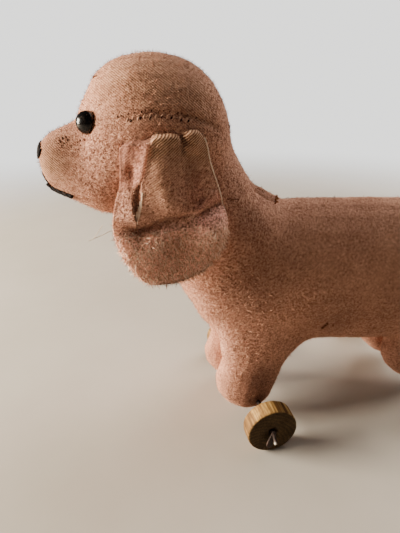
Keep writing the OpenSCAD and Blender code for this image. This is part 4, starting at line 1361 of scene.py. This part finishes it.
for end in ("front", "rear"):
    for side_name, side in SIDES.items():
        turned_wheel(f"{end}_{side_name}_disc", f"{end}_{side_name}_wheel", side)
print("wheels turned")

# %% [markdown]
# The axles are bent and hammered wire, so no edge on them is sharp. A fine voxel remesh of the
# model's axle followed by smoothing rounds them like forged iron, and a little noise pits them.
# Near one line of sight, on the split end of the front axle, a highlight is painted on the iron.
# The shanks, the eye thread and the inner wires keep the model's shape and get a material.

# %% Forge the axles
IRON_VOXEL = 0.22 * MM
PIT_DEPTH, PIT_SIZE = 0.06 * MM, 0.9 * MM
# where the painted highlight lies on the axle and how wide it is
GLINT_PIXEL, GLINT_WIDTH = (275.3, 444.3), 0.6 * MM
start, way = sight_line(*GLINT_PIXEL)
for end in ("front", "rear"):
    axle = clean_copy(f"{end}_axle_wire", f"{end}_axle")
    with_modifier(axle, "REMESH", mode="VOXEL", voxel_size=IRON_VOXEL)
    places = smoothed(axle.data, places_of(axle.data), 6)
    move_to(axle.data, places)
    pitted = PIT_DEPTH * lumps(places, PIT_SIZE)
    move_to(axle.data, places + places_of(axle.data, "normal") * pitted[:, None])
    # a painted highlight near that line of sight
    apart = np.linalg.norm(np.cross(places - np.array(start), np.array(way)), axis=1)
    paint(axle, "painted_glint", np.exp(-(apart / GLINT_WIDTH) ** 2))
    shade_smooth(axle)
    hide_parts(f"{end}_axle")
    finish_piece(axle, rusted_iron, "dog")
kept_nodes = dict.fromkeys(INNER_WIRES + ["left_eye_shank", "right_eye_shank"], rusted_iron)
for node_name, material in {**kept_nodes, "eye_thread": black_thread}.items():
    frame["nodes"][node_name].data.materials.clear()
    frame["nodes"][node_name].data.materials.append(material)
print("axles forged")

# %% [markdown]
# The toy stands on a plain pale floor that fades into a pale wall. The photograph is lit by a
# window on the left and a little behind, so the muzzle, the chest and the rims catch the light
# and the near side falls into soft shade. One large lamp stands there. Four weaker ones stand
# for the room: light from above and behind, a bounce, and a little from the front and the side.

# %% Floor and light
FLOOR_SIZE = 3.0
FLOOR_DARK, FLOOR_PALE = screen_colour(172, 162, 150), screen_colour(180, 171, 160)
WALL = {"Color": (0.93, 0.93, 0.91, 1), "Strength": 1.9}
FADE_FROM, FADE_TO = 0.32, 0.75
SKY = {"Color": (0.82, 0.84, 0.86, 1), "Strength": 0.045}
LAMPS = {
    "window": ((-0.85, 0.17, 0.27), 0.08, 0.4, 38, (1, 0.9, 0.74)),
    "sky_light": ((0.45, 0.26, 0.72), 0.08, 0.6, 6.5, (1, 0.95, 0.88)),
    "fill": ((0.1, -1.0, 0.7), 0.06, 1.0, 0.2, (0.95, 0.97, 1)),
    "bounce": ((0.62, 0.34, 0.34), 0.1, 0.4, 2.5, (1, 0.95, 0.88)),
    "side_light": ((-0.78, -0.22, 0.36), 0.08, 0.3, 0.6, (1, 0.93, 0.82))}


def make_floor():
    """A matt pale floor that runs out into the wall."""
    material, tree, surface, place = new_material("floor", 0.8)
    tone = add_ramp(tree, speckle(tree, place, 12, 4), [(0.3, FLOOR_DARK), (0.7, FLOOR_PALE)])
    tree.links.new(tone, surface.inputs["Base Color"])
    away = add_node(tree, "VectorMath", {0: place}, operation="LENGTH").outputs["Value"]
    fade = {0: away, 1: FADE_FROM, 2: FADE_TO}
    far = add_node(tree, "MapRange", fade, interpolation_type="SMOOTHSTEP").outputs[0]
    looked_at = add_node(tree, "LightPath").outputs["Is Camera Ray"]
    wall = add_node(tree, "Emission", WALL).outputs[0]
    share = reckon(tree, "MULTIPLY", far, looked_at)
    both = add_node(tree, "MixShader", {0: share, 1: surface.outputs[0], 2: wall}).outputs[0]
    tree.links.new(both, tree.nodes["Material Output"].inputs["Surface"])
    shape = bmesh.new()
    bmesh.ops.create_grid(shape, x_segments=1, y_segments=1, size=FLOOR_SIZE / 2)
    floor = linked("floor", shape)
    floor.data.materials.append(material)


def add_lamp(name, place, aim_up, size, power, colour):
    """A square lamp that points at a height over the middle of the floor."""
    data = bpy.data.lights.new(name, "AREA")
    data.size = size
    data.energy = power
    data.color = colour
    lamp = new_object(name, data)
    lamp.location = place
    back = Vector(place) - Vector((0, 0, aim_up))
    lamp.rotation_euler = back.to_track_quat("Z", "Y").to_euler()


make_floor()
for name, lamp in LAMPS.items():
    add_lamp(name, *lamp)
world = bpy.data.worlds.new("studio")
bpy.context.scene.world = world
world.use_nodes = True
tree = world.node_tree
sky = tree.nodes["Background"]
for socket, value in SKY.items():
    sky.inputs[socket].default_value = value
wall = add_node(tree, "Background", WALL).outputs[0]
seen = add_node(tree, "LightPath").outputs["Is Camera Ray"]
both = add_node(tree, "MixShader", {0: seen, 1: sky.outputs[0], 2: wall}).outputs[0]
tree.links.new(both, tree.nodes["World Output"].inputs["Surface"])
